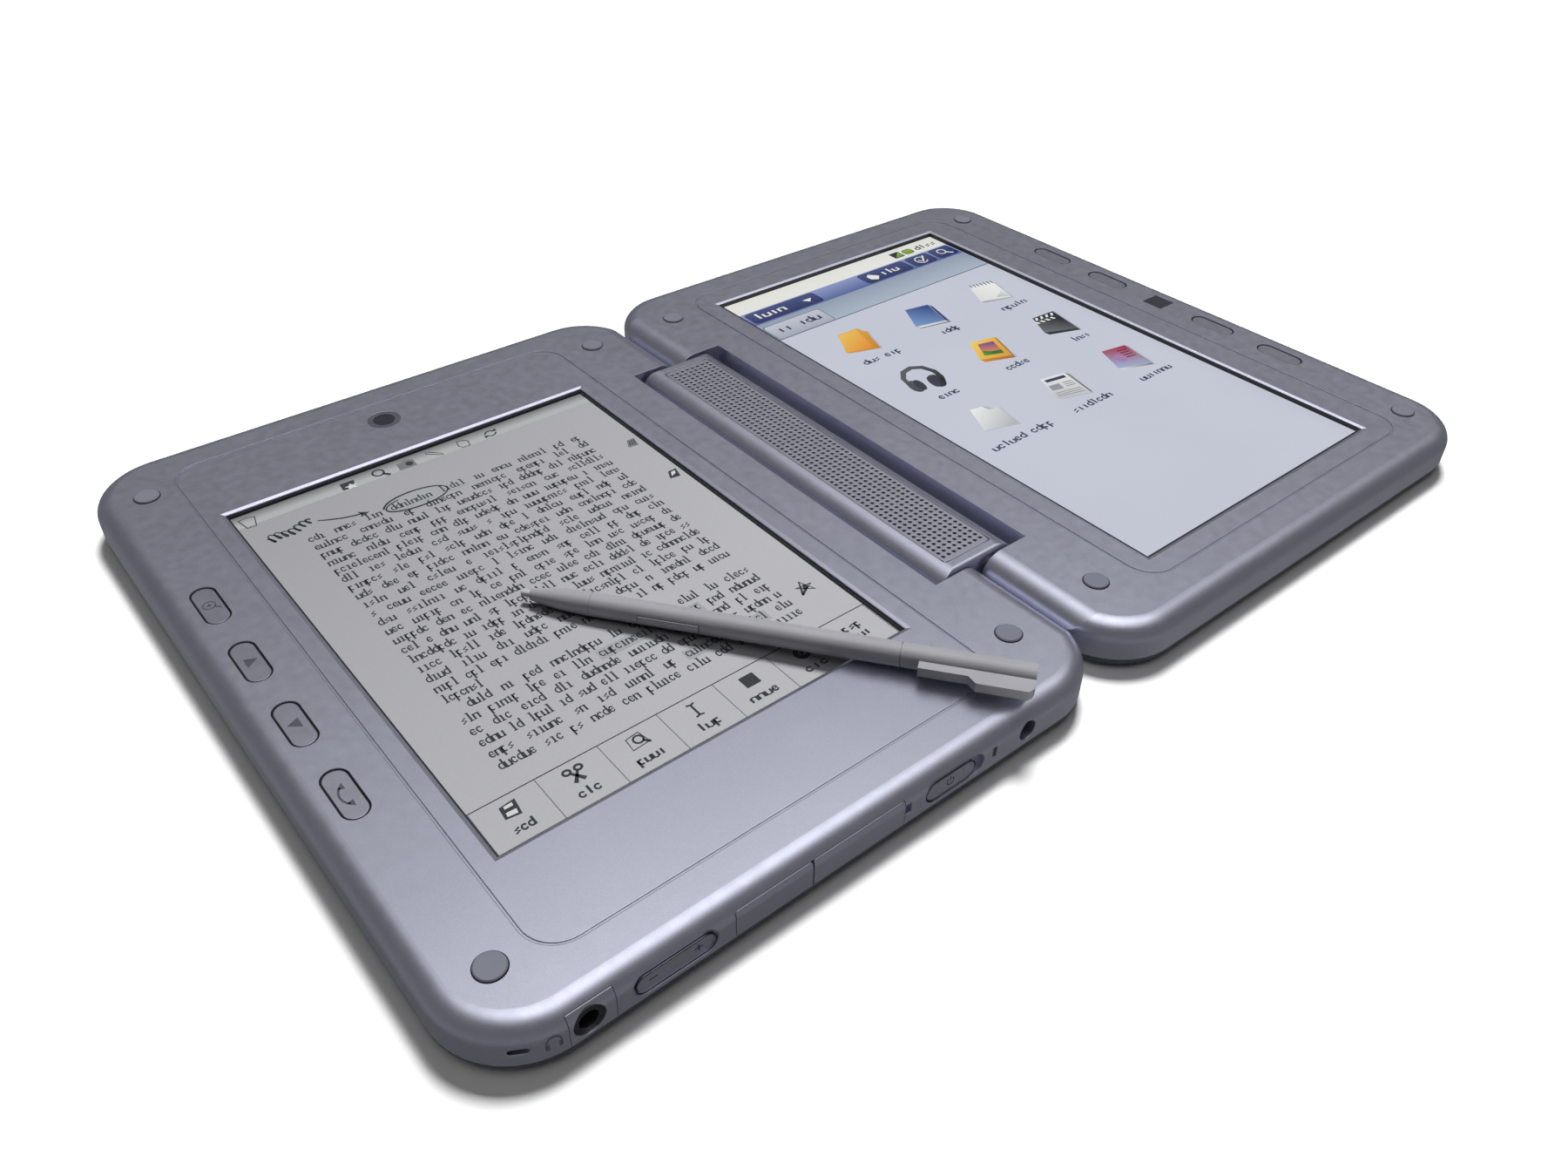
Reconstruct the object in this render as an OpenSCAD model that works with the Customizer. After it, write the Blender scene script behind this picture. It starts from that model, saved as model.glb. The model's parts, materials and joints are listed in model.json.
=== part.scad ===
// Two-screen folding pocket reader: an e-paper half and a colour-screen half,
// joined by a speaker bar with one hinge on each side of it, and a loose pen.
// It lies open on its feet. X runs from the e-paper half to the colour half,
// Y towards the head of the page, Z up. The origin is under the middle.

/* [Halves] */
// Width of one half, from its outer edge to its hinge edge
half_w = 144.5; // [140:0.5:174]
// Length of both halves, foot to head
half_l = 191.6; // [186:0.2:230]
// Thickness of one half without its feet and pads
shell_t = 11; // [9.8:0.1:13.2]
// Radius of the corners, seen from above
corner_r = 16.5; // [13.5:0.5:19.8]
// Rounding of the upper edges
top_round = 4.2; // [3.6:0.1:4.8]
// Rounding of the lower edges
bottom_round = 2.5; // [2:0.1:3]
// Thickness of the side walls
wall = 2.2; // [1.9:0.1:2.7]
// Thickness of the floor
floor_t = 1.4; // [1.1:0.1:1.7]
// Height of the seam between upper and lower shell, above the underside
seam_h = 2.5; // [2:0.1:3]
// Height of the feet under the shells, and of the closing pads on them
pad_h = 0.4; // [0.2:0.05:0.48]
// Diameter of the closing pads
pad_d = 5.5; // [4.6:0.1:6.6]
// Diameter of the feet
foot_d = 9; // [7:0.5:11]
// Width of the groove around each screen panel
groove_w = 0.5; // [0.3:0.05:0.7]

/* [Screens] */
// Depth of the e-paper window, which is the upper wall of that half
reader_lip = 1.3; // [1.1:0.1:1.6]
// Depth of the colour window, which is the upper wall of that half
tablet_lip = 1.3; // [1.1:0.1:1.6]
// E-paper window margin on the key side
reader_key_margin = 22.3; // [20:0.1:26.6]
// E-paper window margin on the hinge side
reader_hinge_margin = 28.5; // [26:0.1:34.2]
// E-paper window margin at the head
reader_head_margin = 35.4; // [34:0.1:42.5]
// E-paper window margin at the foot
reader_foot_margin = 32.5; // [30:0.1:39]
// Colour window margin on the key side
tablet_key_margin = 27.2; // [24:0.1:32.6]
// Colour window margin on the hinge side
tablet_hinge_margin = 29.2; // [26:0.1:35]
// Colour window margin at the head
tablet_head_margin = 18.2; // [17:0.1:21.8]
// Colour window margin at the foot
tablet_foot_margin = 16.5; // [15:0.1:19.8]
// How far a screen reaches under the frame around it
screen_lap = 1.8; // [1.5:0.1:2.2]
// Width of the slope around each window
flare_w = 0.8; // [0.6:0.05:1]
// Depth of the slope around each window
flare_h = 0.3; // [0.2:0.05:0.4]
// Width of the black gasket inside each window
gasket_w = 0.5; // [0.4:0.05:0.6]
// Air gap between the touch glass and the colour screen
touch_gap = 0.3; // [0.2:0.05:0.4]

/* [Hinge and speaker bar] */
// Gap between the two halves at the hinge edge, and between their faces when closed
hinge_gap = 1; // [0.9:0.1:1.4]
// Length of the cut-out for the speaker bar
cutout_l = 114.4; // [100:0.2:137]
// Reach of the cut-out into each half, from the middle
cutout_x = 14.2; // [13.6:0.1:17]
// Gap between the speaker bar's ends and the cut-out
bar_end_gap = 1; // [0.8:0.1:1.2]
// Half width of the speaker bar
bar_x = 12.2; // [11.7:0.1:12.8]
// Wall of the speaker bar
bar_wall = 1.8; // [1.5:0.1:2.1]
// Half width of the speaker grille
grille_x = 7.1; // [6:0.1:8]
// Bare ends of the bar beyond the grille
grille_end = 3.2; // [2.7:0.1:4]
// Radius of the hinge pins
pin_r = 2; // [1.7:0.1:2.2]
// Length of a hinge pin in the bar, and in the half
pin_grip = 10; // [8.5:0.5:12]
// Running clearance of a pin, on the radius
pin_clear = 0.05; // [0.02:0.01:0.09]

/* [Keys] */
// Width of an e-paper half's key
reader_key_w = 4.6; // [4:0.1:5.6]
// Length of an e-paper half's key
reader_key_l = 13; // [11:0.1:15.6]
// Distance from one of those keys to the next
reader_key_pitch = 21.8; // [18.2:0.1:26]
// Distance of those keys from the outer edge
reader_key_in = 8.5; // [8:0.1:9.5]
// Place of the first of those keys along the half
reader_key_top = 30.6; // [26:0.1:36]
// Width of a colour half's key
tablet_key_w = 4.4; // [3.8:0.1:5.3]
// Length of a colour half's key
tablet_key_l = 12.8; // [11:0.1:15.4]
// Distances of those keys from the light sensor
tablet_key_steps = [19.4, 41.7];
// Distance of those keys from the outer edge
tablet_key_in = 9.2; // [8:0.1:10]
// Side of the light sensor's window
sensor_s = 6.5; // [5.5:0.1:7.8]
// Place of the light sensor along the half
sensor_y = -1.6; // [-4:0.1:4]
// Gap around a key
key_gap = 0.3; // [0.25:0.05:0.4]
// Travel of a key
key_travel = 0.6; // [0.5:0.05:0.7]

/* [Foot edge of the e-paper half] */
// Height of the middle of the sockets above the underside
port_h = 6; // [5.6:0.1:6.2]
// Headphone socket, from the outer edge
jack_in = 19.3; // [19:0.1:20.5]
// Radius of the headphone socket's black ring
jack_ring_r = 2.9; // [2.5:0.1:3]
// Radius of the headphone socket's bore, for a 3.5 mm plug
jack_bore_r = 1.8; // [1.78:0.01:1.9]
// Middle of the volume rocker, from the outer edge
rocker_in = 35.4; // [34:0.1:37]
// Length of the volume rocker
rocker_l = 15; // [12.5:0.1:18]
// Height of the volume rocker
rocker_h = 3.6; // [3:0.1:4.3]
// Start of the two flap covers, from the outer edge
covers_in = 47.3; // [46.4:0.1:48]
// Length of the connector cover
usb_cover_l = 16.4; // [14:0.1:19.6]
// Length of the memory card cover
card_cover_l = 21.2; // [17.7:0.1:25.4]
// Height of both covers
cover_h = 5.9; // [4.9:0.1:6.2]
// Thickness of both covers
cover_t = 1.5; // [1.3:0.1:1.7]
// Middle of the power slider's slot, from the middle of the object
slider_x = 46.9; // [46:0.1:48]
// Length of the power slider's knob
slider_l = 12; // [10:0.1:13]
// Height of the power slider's knob
slider_h = 4; // [3.4:0.1:4.8]
// Travel of the power slider
slider_travel = 2.5; // [2.1:0.1:3]
// Power light, from the middle of the object
led_x = 36.5; // [35.5:0.1:37.5]
// Power socket, from the middle of the object
dc_x = 27.3; // [26.5:0.1:28.5]
// Radius of the power socket's bore
dc_bore_r = 1.9; // [1.6:0.1:2.1]
// Depth of both socket bores
socket_l = 11; // [9:0.5:12]

/* [Pen] */
// Length of the pen
pen_l = 106.3; // [100:0.1:112]
// Radius of the pen
pen_r = 2.55; // [2.15:0.05:3.05]
// Turn of the pen on the page
pen_turn = -53.8; // [-58:0.1:-50]
// Place of the pen's point
pen_tip = [-85, -6.3];

/* [Hidden] */
$fn = 64;
e = 0.01;                  // how far a cut runs past the face it cuts
slack = 0.1;               // gap between still pieces that sit next to each other
edge_x = hinge_gap / 2 + half_w;
edge_y = half_l / 2;
z0 = pad_h;                // underside of the shells
z1 = z0 + shell_t;         // their upper faces
mid_z = (z0 + z1) / 2;
seam_z = z0 + seam_h;
axis_x = shell_t / 2 + hinge_gap / 2;
bull_r = shell_t / 2;      // round of the hinge edges, about the hinge axes
cutout_y = cutout_l / 2;
bar_y = cutout_y - bar_end_gap;
bar_round_x = bar_x - bull_r;
bar_seam_z = z1 - 2.2;
barrel_r = pin_r + 1;
barrel_l = pin_grip + 1;
bar_block = barrel_l + 2;  // solid length at each end of the bar
grille_t = 0.8;
cavity_x = cutout_x + wall;
floor_z = z0 + floor_t;
port_z = z0 + port_h;
cover_z0 = seam_z + 0.15;
reader_win = [[-(edge_x - reader_key_margin), -(edge_y - reader_foot_margin)],
              [-(hinge_gap / 2 + reader_hinge_margin), edge_y - reader_head_margin]];
tablet_win = [[hinge_gap / 2 + tablet_hinge_margin, -(edge_y - tablet_foot_margin)],
              [edge_x - tablet_key_margin, edge_y - tablet_head_margin]];
groove_depth = 0.25;
groove_x = [cavity_x + 7, edge_x - 17.5];
groove_y = edge_y - 10.3;
groove_r = 7.4;
pad_pocket = 0.6;
pad_spots = [[13.8, edge_y - 17.5], [edge_x - 11, edge_y - 17.5],
             [13.8, -(edge_y - 18.1)], [edge_x - 11, -(edge_y - 14.4)]];
foot_pocket = 0.5;
foot_spots = [for (x = [cavity_x + 6.5, edge_x - 15], y = [-1, 1]) [x, y * (edge_y - 11)]];
key_wall = 0.9;            // thickness of a key's flange
key_lap = 0.8;             // how far the flange reaches under the wall
key_low = 0.15;            // how far a key's top sits below the face
board_t = 1.2;
reader_board_z = floor_z + 2.3;
screen_t = 1.1;
digitizer_t = 0.8;
touch_t = 1;
lcd_t = 2.4;
battery_t = 3.2;
reader_key_r = reader_key_w / 2 - e;
tablet_key_r = tablet_key_w / 2 - e;
key_x_reader = -(edge_x - reader_key_in);
key_x_tablet = edge_x - tablet_key_in;
reader_key_ys = [for (i = [0 : 3]) reader_key_top - i * reader_key_pitch];
tablet_key_ys = [for (s = [-1, 1], d = tablet_key_steps) sensor_y + s * d];
screw_r = 1.1;
screw_head_r = 2;
screw_head_t = 1.3;
screw_sink = 0.5;          // depth of the head below the underside
screw_top = 6.4;           // top of a screw above the underside
boss_r = 2.6;
reader_screws_at = [for (x = [-edge_x + 11, -edge_x + 45, -cavity_x - 7], y = [edge_y - 27, -edge_y + 21.8])
                    [x, y]];
tablet_screws_at = [for (x = [cavity_x + 18, edge_x / 2 + 5, edge_x - 30], y = [1, -1]) [x, y * (edge_y - 8.2)]];
jack_x = -(edge_x - jack_in);
rocker_x = -(edge_x - rocker_in);
covers_x = -(edge_x - covers_in);
usb_hinge_x = covers_x + usb_cover_l;
cover_split = 0.3;         // gap between the two covers
card_hinge_x = usb_hinge_x + cover_split;
card_end_x = card_hinge_x + card_cover_l;
cover_gap = 0.15;
face_y = -edge_y;
inner_y = face_y + wall;
rocker_t = 1.6;
rocker_step = 0.5;         // depth of the scoop around the rocker
slider_t = 1.2;
camera_at = [-(edge_x / 2 + 4), edge_y - 18.9];
camera_r = 4;
camera_glass_r = 2.6;
nib_l = 2.2;
nose_l = 15.7;             // from the pen's point to the end of its nose
cap_l = 26;
pen_nose_r = 1.25;         // radius where the nose starts
pen_rest = reader_lip / 56; // slope of the pen, from the page up over the window's edge
pen_z = z1 - reader_lip + pen_r + 0.12 - nose_l * pen_rest;
pen_button_l = 12.8;
pen_button_at = 26.5;
flag_t = 2.2;

// ---------- shapes shared by both halves ----------

// A rectangle from corner a to corner b with round corners.
module round_rect(a, b, r) {
    translate([a[0] + r, a[1]]) square([b[0] - a[0] - 2 * r, b[1] - a[1]]);
    translate([a[0], a[1] + r]) square([b[0] - a[0], b[1] - a[1] - 2 * r]);
    for (x = [a[0] + r, b[0] - r], y = [a[1] + r, b[1] - r]) translate([x, y]) circle(r);
}

// A plate between two heights with round corners.
module plate(a, b, r, low, high) {
    translate([0, 0, low]) linear_extrude(high - low) round_rect(a, b, r);
}

// A block between two corners.
module block(a, b) {
    translate(a) cube(b - a);
}

// Section of a half's rim: x outward from the corner's centre, y is height.
module rim_section() {
    difference() {
        translate([0, z0]) square([corner_r, shell_t]);
        translate([corner_r - top_round, z1 - top_round]) difference() {
            square(top_round + 1);
            circle(top_round);
        }
        translate([corner_r - bottom_round, z0 + bottom_round]) mirror([0, 1]) difference() {
            square(bottom_round + 1);
            circle(bottom_round);
        }
    }
}

// The solid outer form of the colour half, with its hinge edge round about the hinge axis.
module half_form() {
    xs = [hinge_gap / 2 + corner_r, edge_x - corner_r];
    y = edge_y - corner_r;
    intersection() {
        union() {
            block([xs[0], -y, z0], [xs[1], y, z1]);
            for (i = [0, 1], j = [0, 1])
                translate([xs[i], (2 * j - 1) * y, 0]) mirror([1 - i, 0, 0]) mirror([0, 1 - j, 0])
                    rotate_extrude(angle = 90) rim_section();
            for (j = [0, 1]) mirror([0, j, 0])
                translate([xs[0], y, 0]) rotate([90, 0, 90]) linear_extrude(xs[1] - xs[0]) rim_section();
            translate([xs[1], y, 0]) rotate([90, 0, 0]) linear_extrude(2 * y) rim_section();
            translate([xs[0], y, 0]) mirror([1, 0, 0]) rotate([90, 0, 0]) linear_extrude(2 * y) rim_section();
        }
        translate([0, edge_y + 1, 0]) rotate([90, 0, 0]) linear_extrude(2 * edge_y + 2) {
            translate([axis_x, z0]) square([edge_x, shell_t]);
            translate([axis_x, mid_z]) circle(bull_r);
        }
    }
}

// The e-paper half has the same form, mirrored.
module reader_form() {
    mirror([1, 0, 0]) half_form();
}

// The hollow of the colour half, up to the underside of its upper wall.
module half_hollow(lip) {
    plate([cavity_x, -(edge_y - wall)], [edge_x - wall, edge_y - wall], corner_r - wall, floor_z, z1 - lip);
    block([cavity_x, -(edge_y - wall), floor_z], [cavity_x + 2 * corner_r, edge_y - wall, z1 - lip]);
}

// Cut-out for the speaker bar, on the colour side.
module bar_cutout() {
    block([-e, -cutout_y, z0 - 1], [cutout_x, cutout_y, z1 + 1]);
}

// Holes for the pins that a half holds, on the colour side.
module pin_holes() {
    for (s = [-1, 1]) translate([axis_x, s * (cutout_y - 1), mid_z])
        rotate([-90 * s, 0, 0]) cylinder(r = pin_r + 0.01, h = pin_grip + 1);
}

// The two pins of one half, on the colour side.
module half_pins() {
    for (s = [-1, 1]) translate([axis_x, s * (bar_y - pin_grip), mid_z])
        rotate([-90 * s, 0, 0]) cylinder(r = pin_r, h = 2 * pin_grip + bar_end_gap - slack);
}

// The groove around a screen panel, on the colour side.
module panel_groove() {
    difference() {
        plate([groove_x[0], -groove_y], [groove_x[1], groove_y], groove_r, z1 - groove_depth, z1 + 1);
        plate([groove_x[0] + groove_w, -groove_y + groove_w], [groove_x[1] - groove_w, groove_y - groove_w],
              groove_r - groove_w, z1 - groove_depth - 1, z1 + 2);
    }
}

module at_spots(spots) {
    for (p = spots) translate([p[0], p[1], 0]) children();
}

module pad_pockets() {
    at_spots(pad_spots) translate([0, 0, z1 - pad_pocket]) cylinder(d = pad_d + slack, h = pad_pocket + 1);
}

// Closing pads: a low crowned disc in each pocket.
module pads() {
    at_spots(pad_spots) translate([0, 0, z1 - pad_pocket]) {
        cylinder(d = pad_d, h = pad_pocket + pad_h / 2);
        translate([0, 0, pad_pocket + pad_h / 2]) cylinder(d1 = pad_d, d2 = pad_d - pad_h, h = pad_h / 2);
    }
}

module foot_pockets() {
    at_spots(foot_spots) translate([0, 0, z0 - 1]) cylinder(d = foot_d + slack, h = foot_pocket + 1);
}

module feet() {
    at_spots(foot_spots) cylinder(d = foot_d, h = pad_h + foot_pocket - slack / 2);
}

// Screw holes with sunk heads, from below.
module screw_holes(spots) {
    at_spots(spots) {
        translate([0, 0, z0 - 1]) cylinder(r = screw_head_r + slack, h = 1 + screw_sink + screw_head_t);
        translate([0, 0, z0]) cylinder(r = screw_r + 0.05, h = screw_top + 0.3);
    }
}

module screws(spots) {
    at_spots(spots) translate([0, 0, z0 + screw_sink]) {
        difference() {
            cylinder(r = screw_head_r, h = screw_head_t - 0.05);
            for (a = [0, 90]) rotate([0, 0, a]) translate([-1.1, -0.25, -e]) cube([2.2, 0.5, 0.6]);
        }
        translate([0, 0, screw_head_t - 0.1]) cylinder(r = screw_r, h = screw_top - screw_sink - screw_head_t);
    }
}

// Pillars that the screws bite into, hanging from the upper wall.
module upper_bosses(spots, lip) {
    at_spots(spots) translate([0, 0, seam_z]) cylinder(r = boss_r, h = z1 - lip - seam_z);
}

// Pillars around the screw heads, standing on the floor.
module lower_bosses(spots) {
    at_spots(spots) translate([0, 0, floor_z]) cylinder(r = boss_r + 0.6, h = seam_z - floor_z);
}

// A window from corner a to corner b with a slope around it.
module window_cut(a, b, lip) {
    rise = flare_h + 1;
    spread = flare_w * rise / flare_h;
    block([a[0], a[1], z1 - lip - e], [b[0], b[1], z1 + 1]);
    translate([0, 0, z1 - flare_h]) intersection() {
        translate([0, b[1] + spread, 0]) rotate([90, 0, 0]) linear_extrude(b[1] - a[1] + 2 * spread)
            polygon([[a[0], 0], [b[0], 0], [b[0] + spread, rise], [a[0] - spread, rise]]);
        translate([a[0] - spread, 0, 0]) rotate([90, 0, 90]) linear_extrude(b[0] - a[0] + 2 * spread)
            polygon([[a[1], 0], [b[1], 0], [b[1] + spread, rise], [a[1] - spread, rise]]);
    }
}

// The black frame inside a window, standing on the screen.
module gasket(a, b, low, high) {
    difference() {
        block([a[0] + slack / 2, a[1] + slack / 2, low], [b[0] - slack / 2, b[1] - slack / 2, high]);
        block([a[0] + gasket_w, a[1] + gasket_w, low - 1], [b[0] - gasket_w, b[1] - gasket_w, high + 1]);
    }
}

// A key's outline: a rounded bar along Y.
module key_outline(w, l, r, grow) {
    round_rect([-w / 2 - grow, -l / 2 - grow], [w / 2 + grow, l / 2 + grow], r + grow);
}

module key_hole(x, y, w, l, r, lip) {
    translate([x, y, z1 - lip - e]) linear_extrude(lip + 1) key_outline(w, l, r, key_gap);
}

// A key: its cap in the hole, and a flange that holds it under the wall.
module key(x, y, w, l, r, lip) {
    translate([x, y, 0]) {
        translate([0, 0, z1 - lip - 0.1]) linear_extrude(lip + 0.1 - key_low) key_outline(w, l, r, 0);
        translate([0, 0, z1 - lip - 0.1 - key_wall]) linear_extrude(key_wall) key_outline(w, l, r, key_gap + key_lap);
        translate([0, 0, z1 - lip - 0.1 - key_wall - 0.3]) cylinder(r = 1.2, h = 0.4);
    }
}

// ---------- foot edge of the e-paper half ----------

// Extrudes an outline drawn in X and Z into the foot edge, from its face inward.
module into_foot(depth, out = 1) {
    translate([0, face_y + depth, 0]) rotate([90, 0, 0]) linear_extrude(depth + out) children();
}

module rocker_outline(grow) {
    round_rect([rocker_x - rocker_l / 2 - grow, port_z - rocker_h / 2 - grow],
               [rocker_x + rocker_l / 2 + grow, port_z + rocker_h / 2 + grow], rocker_h / 2 + grow - e);
}

// Outline of the slider's knob, from its left end; extra lengthens it to the right.
module slider_outline(grow, extra) {
    left = -slider_x - (slider_l + slider_travel) / 2;
    round_rect([left - grow, port_z - slider_h / 2 - grow],
               [left + slider_l + extra + grow, port_z + slider_h / 2 + grow], slider_h / 2 + grow - e);
}

module covers_outline(x0, x1, grow) {
    round_rect([x0 - grow, cover_z0 - grow * 0.6], [x1 + grow, cover_z0 + cover_h + grow], 0.6);
}

module surround_outline(grow) {
    translate([jack_x - 3.6 - grow, seam_z]) square([8.4 + 2 * grow, port_h - seam_h + jack_ring_r + 0.6 + grow]);
}

// Everything that opens the foot edge of the e-paper half.
module foot_cuts() {
    into_foot(rocker_step) rocker_outline(0.8);
    into_foot(wall + 1) rocker_outline(key_gap);
    into_foot(slider_t + slack) slider_outline(key_gap, slider_travel);
    into_foot(wall + 1) translate([-slider_x - 3, port_z - 0.8]) square([6 + slider_travel, 1.6]);
    into_foot(cover_t + slack) covers_outline(covers_x, card_end_x, cover_gap);
    into_foot(cover_t - 0.4) translate([card_end_x, port_z - 1]) square([1.6, 2.4]);
    into_foot(wall + 1) translate([covers_x + usb_cover_l / 2 - 4, port_z - 2]) square([8, 4]);
    into_foot(wall + 1) translate([card_hinge_x + card_cover_l / 2 - 6.6, port_z - 0.8]) square([13.2, 1.6]);
    into_foot(wall + 4) surround_outline(slack / 2);
    into_foot(wall + 1) translate([-led_x, port_z]) square([1.1 + slack, 2.5 + slack], center = true);
    into_foot(wall + 1) translate([-dc_x, port_z]) circle(dc_bore_r + 0.3);
    into_foot(8) round_rect([-(edge_x - 6.8), port_z - 0.7], [-(edge_x - 9.8), port_z + 0.7], 0.65);
}

// ---------- e-paper half ----------

module reader_holes() {
    mirror([1, 0, 0]) {
        bar_cutout();
        pin_holes();
    }
    screw_holes(reader_screws_at);
}

module reader_top_shell() color([0.52, 0.53, 0.58]) {
    difference() {
        intersection() {
            reader_form();
            block([-edge_x - 1, -edge_y - 1, seam_z], [0, edge_y + 1, z1 + 1]);
        }
        difference() {
            mirror([1, 0, 0]) half_hollow(reader_lip);
            upper_bosses(reader_screws_at, reader_lip - 1);
        }
        reader_holes();
        window_cut(reader_win[0], reader_win[1], reader_lip);
        for (y = reader_key_ys) key_hole(key_x_reader, y, reader_key_w, reader_key_l, reader_key_r, reader_lip);
        mirror([1, 0, 0]) {
            pad_pockets();
            panel_groove();
        }
        translate([camera_at[0], camera_at[1], z1 - reader_lip - 1]) cylinder(r = camera_r + slack / 2, h = reader_lip + 2);
        foot_cuts();
    }
}

module reader_bottom_shell() color([0.36, 0.36, 0.40]) {
    difference() {
        intersection() {
            reader_form();
            block([-edge_x - 1, -edge_y - 1, z0 - 1], [0, edge_y + 1, seam_z]);
        }
        difference() {
            mirror([1, 0, 0]) half_hollow(reader_lip);
            lower_bosses(reader_screws_at);
        }
        reader_holes();
        mirror([1, 0, 0]) foot_pockets();
    }
}

module reader_pads() color([0.55, 0.56, 0.60]) mirror([1, 0, 0]) pads();

module reader_feet() color([0.16, 0.16, 0.17]) mirror([1, 0, 0]) feet();

module eink_screen() color([0.80, 0.80, 0.78]) {
    top = z1 - reader_lip - 0.02;
    block([reader_win[0][0] - screen_lap, reader_win[0][1] - screen_lap, top - screen_t],
          [reader_win[1][0] + screen_lap, reader_win[1][1] + screen_lap, top]);
}

module eink_gasket() color([0.07, 0.07, 0.08]) {
    gasket(reader_win[0], reader_win[1], z1 - reader_lip, z1 - reader_lip + 0.5);
}

module digitizer_board() color([0.10, 0.32, 0.22]) {
    top = z1 - reader_lip - 0.02 - screen_t - slack;
    block([reader_win[0][0], reader_win[0][1], top - digitizer_t], [reader_win[1][0], reader_win[1][1], top]);
}

// Main circuit board with its chips, between the sockets and the head.
module main_board() color([0.08, 0.30, 0.20]) {
    x0 = reader_win[0][0] + 6;
    x1 = reader_win[1][0] - 4;
    y1 = reader_win[1][1] - 12;
    block([x0, reader_win[0][1] + 4, reader_board_z], [x1, y1, reader_board_z + board_t]);
    for (chip = [[20, 30, 14], [44, 32, 12], [26, 60, 18], [58, 70, 10]])
        translate([x0 + chip[0], y1 - chip[1], reader_board_z + board_t - e]) cube([chip[2], chip[2], 1]);
}

module reader_key_board() color([0.09, 0.30, 0.20]) {
    top = z1 - reader_lip - 0.1 - key_wall - 0.3 - key_travel - 0.4;
    y0 = reader_key_ys[3] - reader_key_l / 2;
    y1 = reader_key_ys[0] + reader_key_l / 2;
    block([key_x_reader - 3.4, y0, top - board_t], [key_x_reader + 3.4, y1, top]);
    for (y = reader_key_ys) translate([key_x_reader, y, top - e]) cylinder(r = 2, h = 0.3);
}

module camera_bezel() color([0.25, 0.25, 0.28]) {
    translate([camera_at[0], camera_at[1], z1 - reader_lip]) difference() {
        cylinder(r = camera_r, h = reader_lip - 0.05);
        translate([0, 0, reader_lip - 0.6]) cylinder(r = camera_glass_r + 0.05, h = 1);
        translate([0, 0, -e]) cylinder(r = 1.4, h = 3);
    }
}

module camera_glass() color([0.05, 0.05, 0.07]) {
    translate([camera_at[0], camera_at[1], z1 - 0.6]) cylinder(r = camera_glass_r, h = 0.45);
}

module camera_module() color([0.12, 0.12, 0.13]) {
    translate([camera_at[0], camera_at[1], z1 - reader_lip - slack - 4]) {
        translate([-4, -4, 0]) cube([8, 8, 2.6]);
        cylinder(r = 3, h = 4);
    }
}

module headphone_socket() color([0.05, 0.05, 0.06]) {
    translate([jack_x, face_y + socket_l + 1.2, port_z]) rotate([90, 0, 0]) difference() {
        cylinder(r = jack_ring_r, h = socket_l + 0.8);
        translate([0, 0, 0.8]) cylinder(r = jack_bore_r, h = socket_l + 1);
    }
}

// The separate piece of the foot edge that holds the headphone socket.
module socket_surround() color([0.52, 0.53, 0.58]) {
    difference() {
        intersection() {
            reader_form();
            into_foot(wall + 3.8) surround_outline(-slack / 2);
        }
        translate([jack_x, face_y + wall + 5, port_z]) rotate([90, 0, 0]) cylinder(r = jack_ring_r + 0.03, h = 12);
    }
}

module power_socket() color([0.05, 0.05, 0.06]) {
    translate([-dc_x, inner_y + socket_l + slack, port_z]) rotate([90, 0, 0]) difference() {
        translate([-3.2, -3.2, 0]) cube([6.4, 5.7, socket_l]);
        translate([0, 0, 1]) cylinder(r = dc_bore_r, h = socket_l);
    }
}

module power_light() color([0.75, 0.80, 0.90]) {
    into_foot(wall + 1, -0.25) translate([-led_x, port_z]) square([1.1, 2.5], center = true);
}

// Small connector shell behind the left cover.
module usb_socket() color([0.72, 0.72, 0.74]) {
    translate([covers_x + usb_cover_l / 2, 0, port_z]) difference() {
        block([-3.85, face_y + cover_t + 0.3, -1.9], [3.85, face_y + cover_t + 9.3, 1.9]);
        block([-3.3, face_y, -1.35], [3.3, face_y + cover_t + 7.5, 1.35]);
    }
}

// Memory card slot behind the right cover.
module card_socket() color([0.70, 0.70, 0.72]) {
    translate([card_hinge_x + card_cover_l / 2, 0, port_z]) difference() {
        block([-7, inner_y + slack, -1.2], [7, inner_y + 14, 1.2]);
        block([-5.8, inner_y - 1, -0.5], [5.8, inner_y + 12.5, 0.5]);
    }
}

module reader_screws() color([0.30, 0.30, 0.32]) screws(reader_screws_at);

module reader_hinge_pins() color([0.70, 0.70, 0.72]) mirror([1, 0, 0]) half_pins();

module reader_key(i) {
    color([0.42, 0.43, 0.48]) key(key_x_reader, reader_key_ys[i], reader_key_w, reader_key_l, reader_key_r, reader_lip);
}

module zoom_key() reader_key(0);
module page_up_key() reader_key(1);
module page_down_key() reader_key(2);
module rotate_key() reader_key(3);

// Volume rocker: a pill that tilts a little about its middle.
module volume_rocker() color([0.50, 0.51, 0.56]) {
    into_foot(rocker_t + 0.2, -0.2) rocker_outline(0);
    into_foot(rocker_t + 1, -rocker_t) translate([rocker_x, port_z]) square([2.4, 2], center = true);
}

module power_slider() color([0.56, 0.57, 0.62]) {
    left = -slider_x - (slider_l + slider_travel) / 2;
    into_foot(slider_t, -0.15) slider_outline(0, 0);
    into_foot(wall + 1, -slider_t + e) translate([left + slider_l / 2 - 1.5, port_z - 0.6]) square([3, 1.2]);
}

// A flap cover follows the face of the half that it closes.
module flap(x0, x1, r) {
    intersection() {
        reader_form();
        into_foot(cover_t) round_rect([x0, cover_z0], [x1, cover_z0 + cover_h], r);
    }
}

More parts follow.
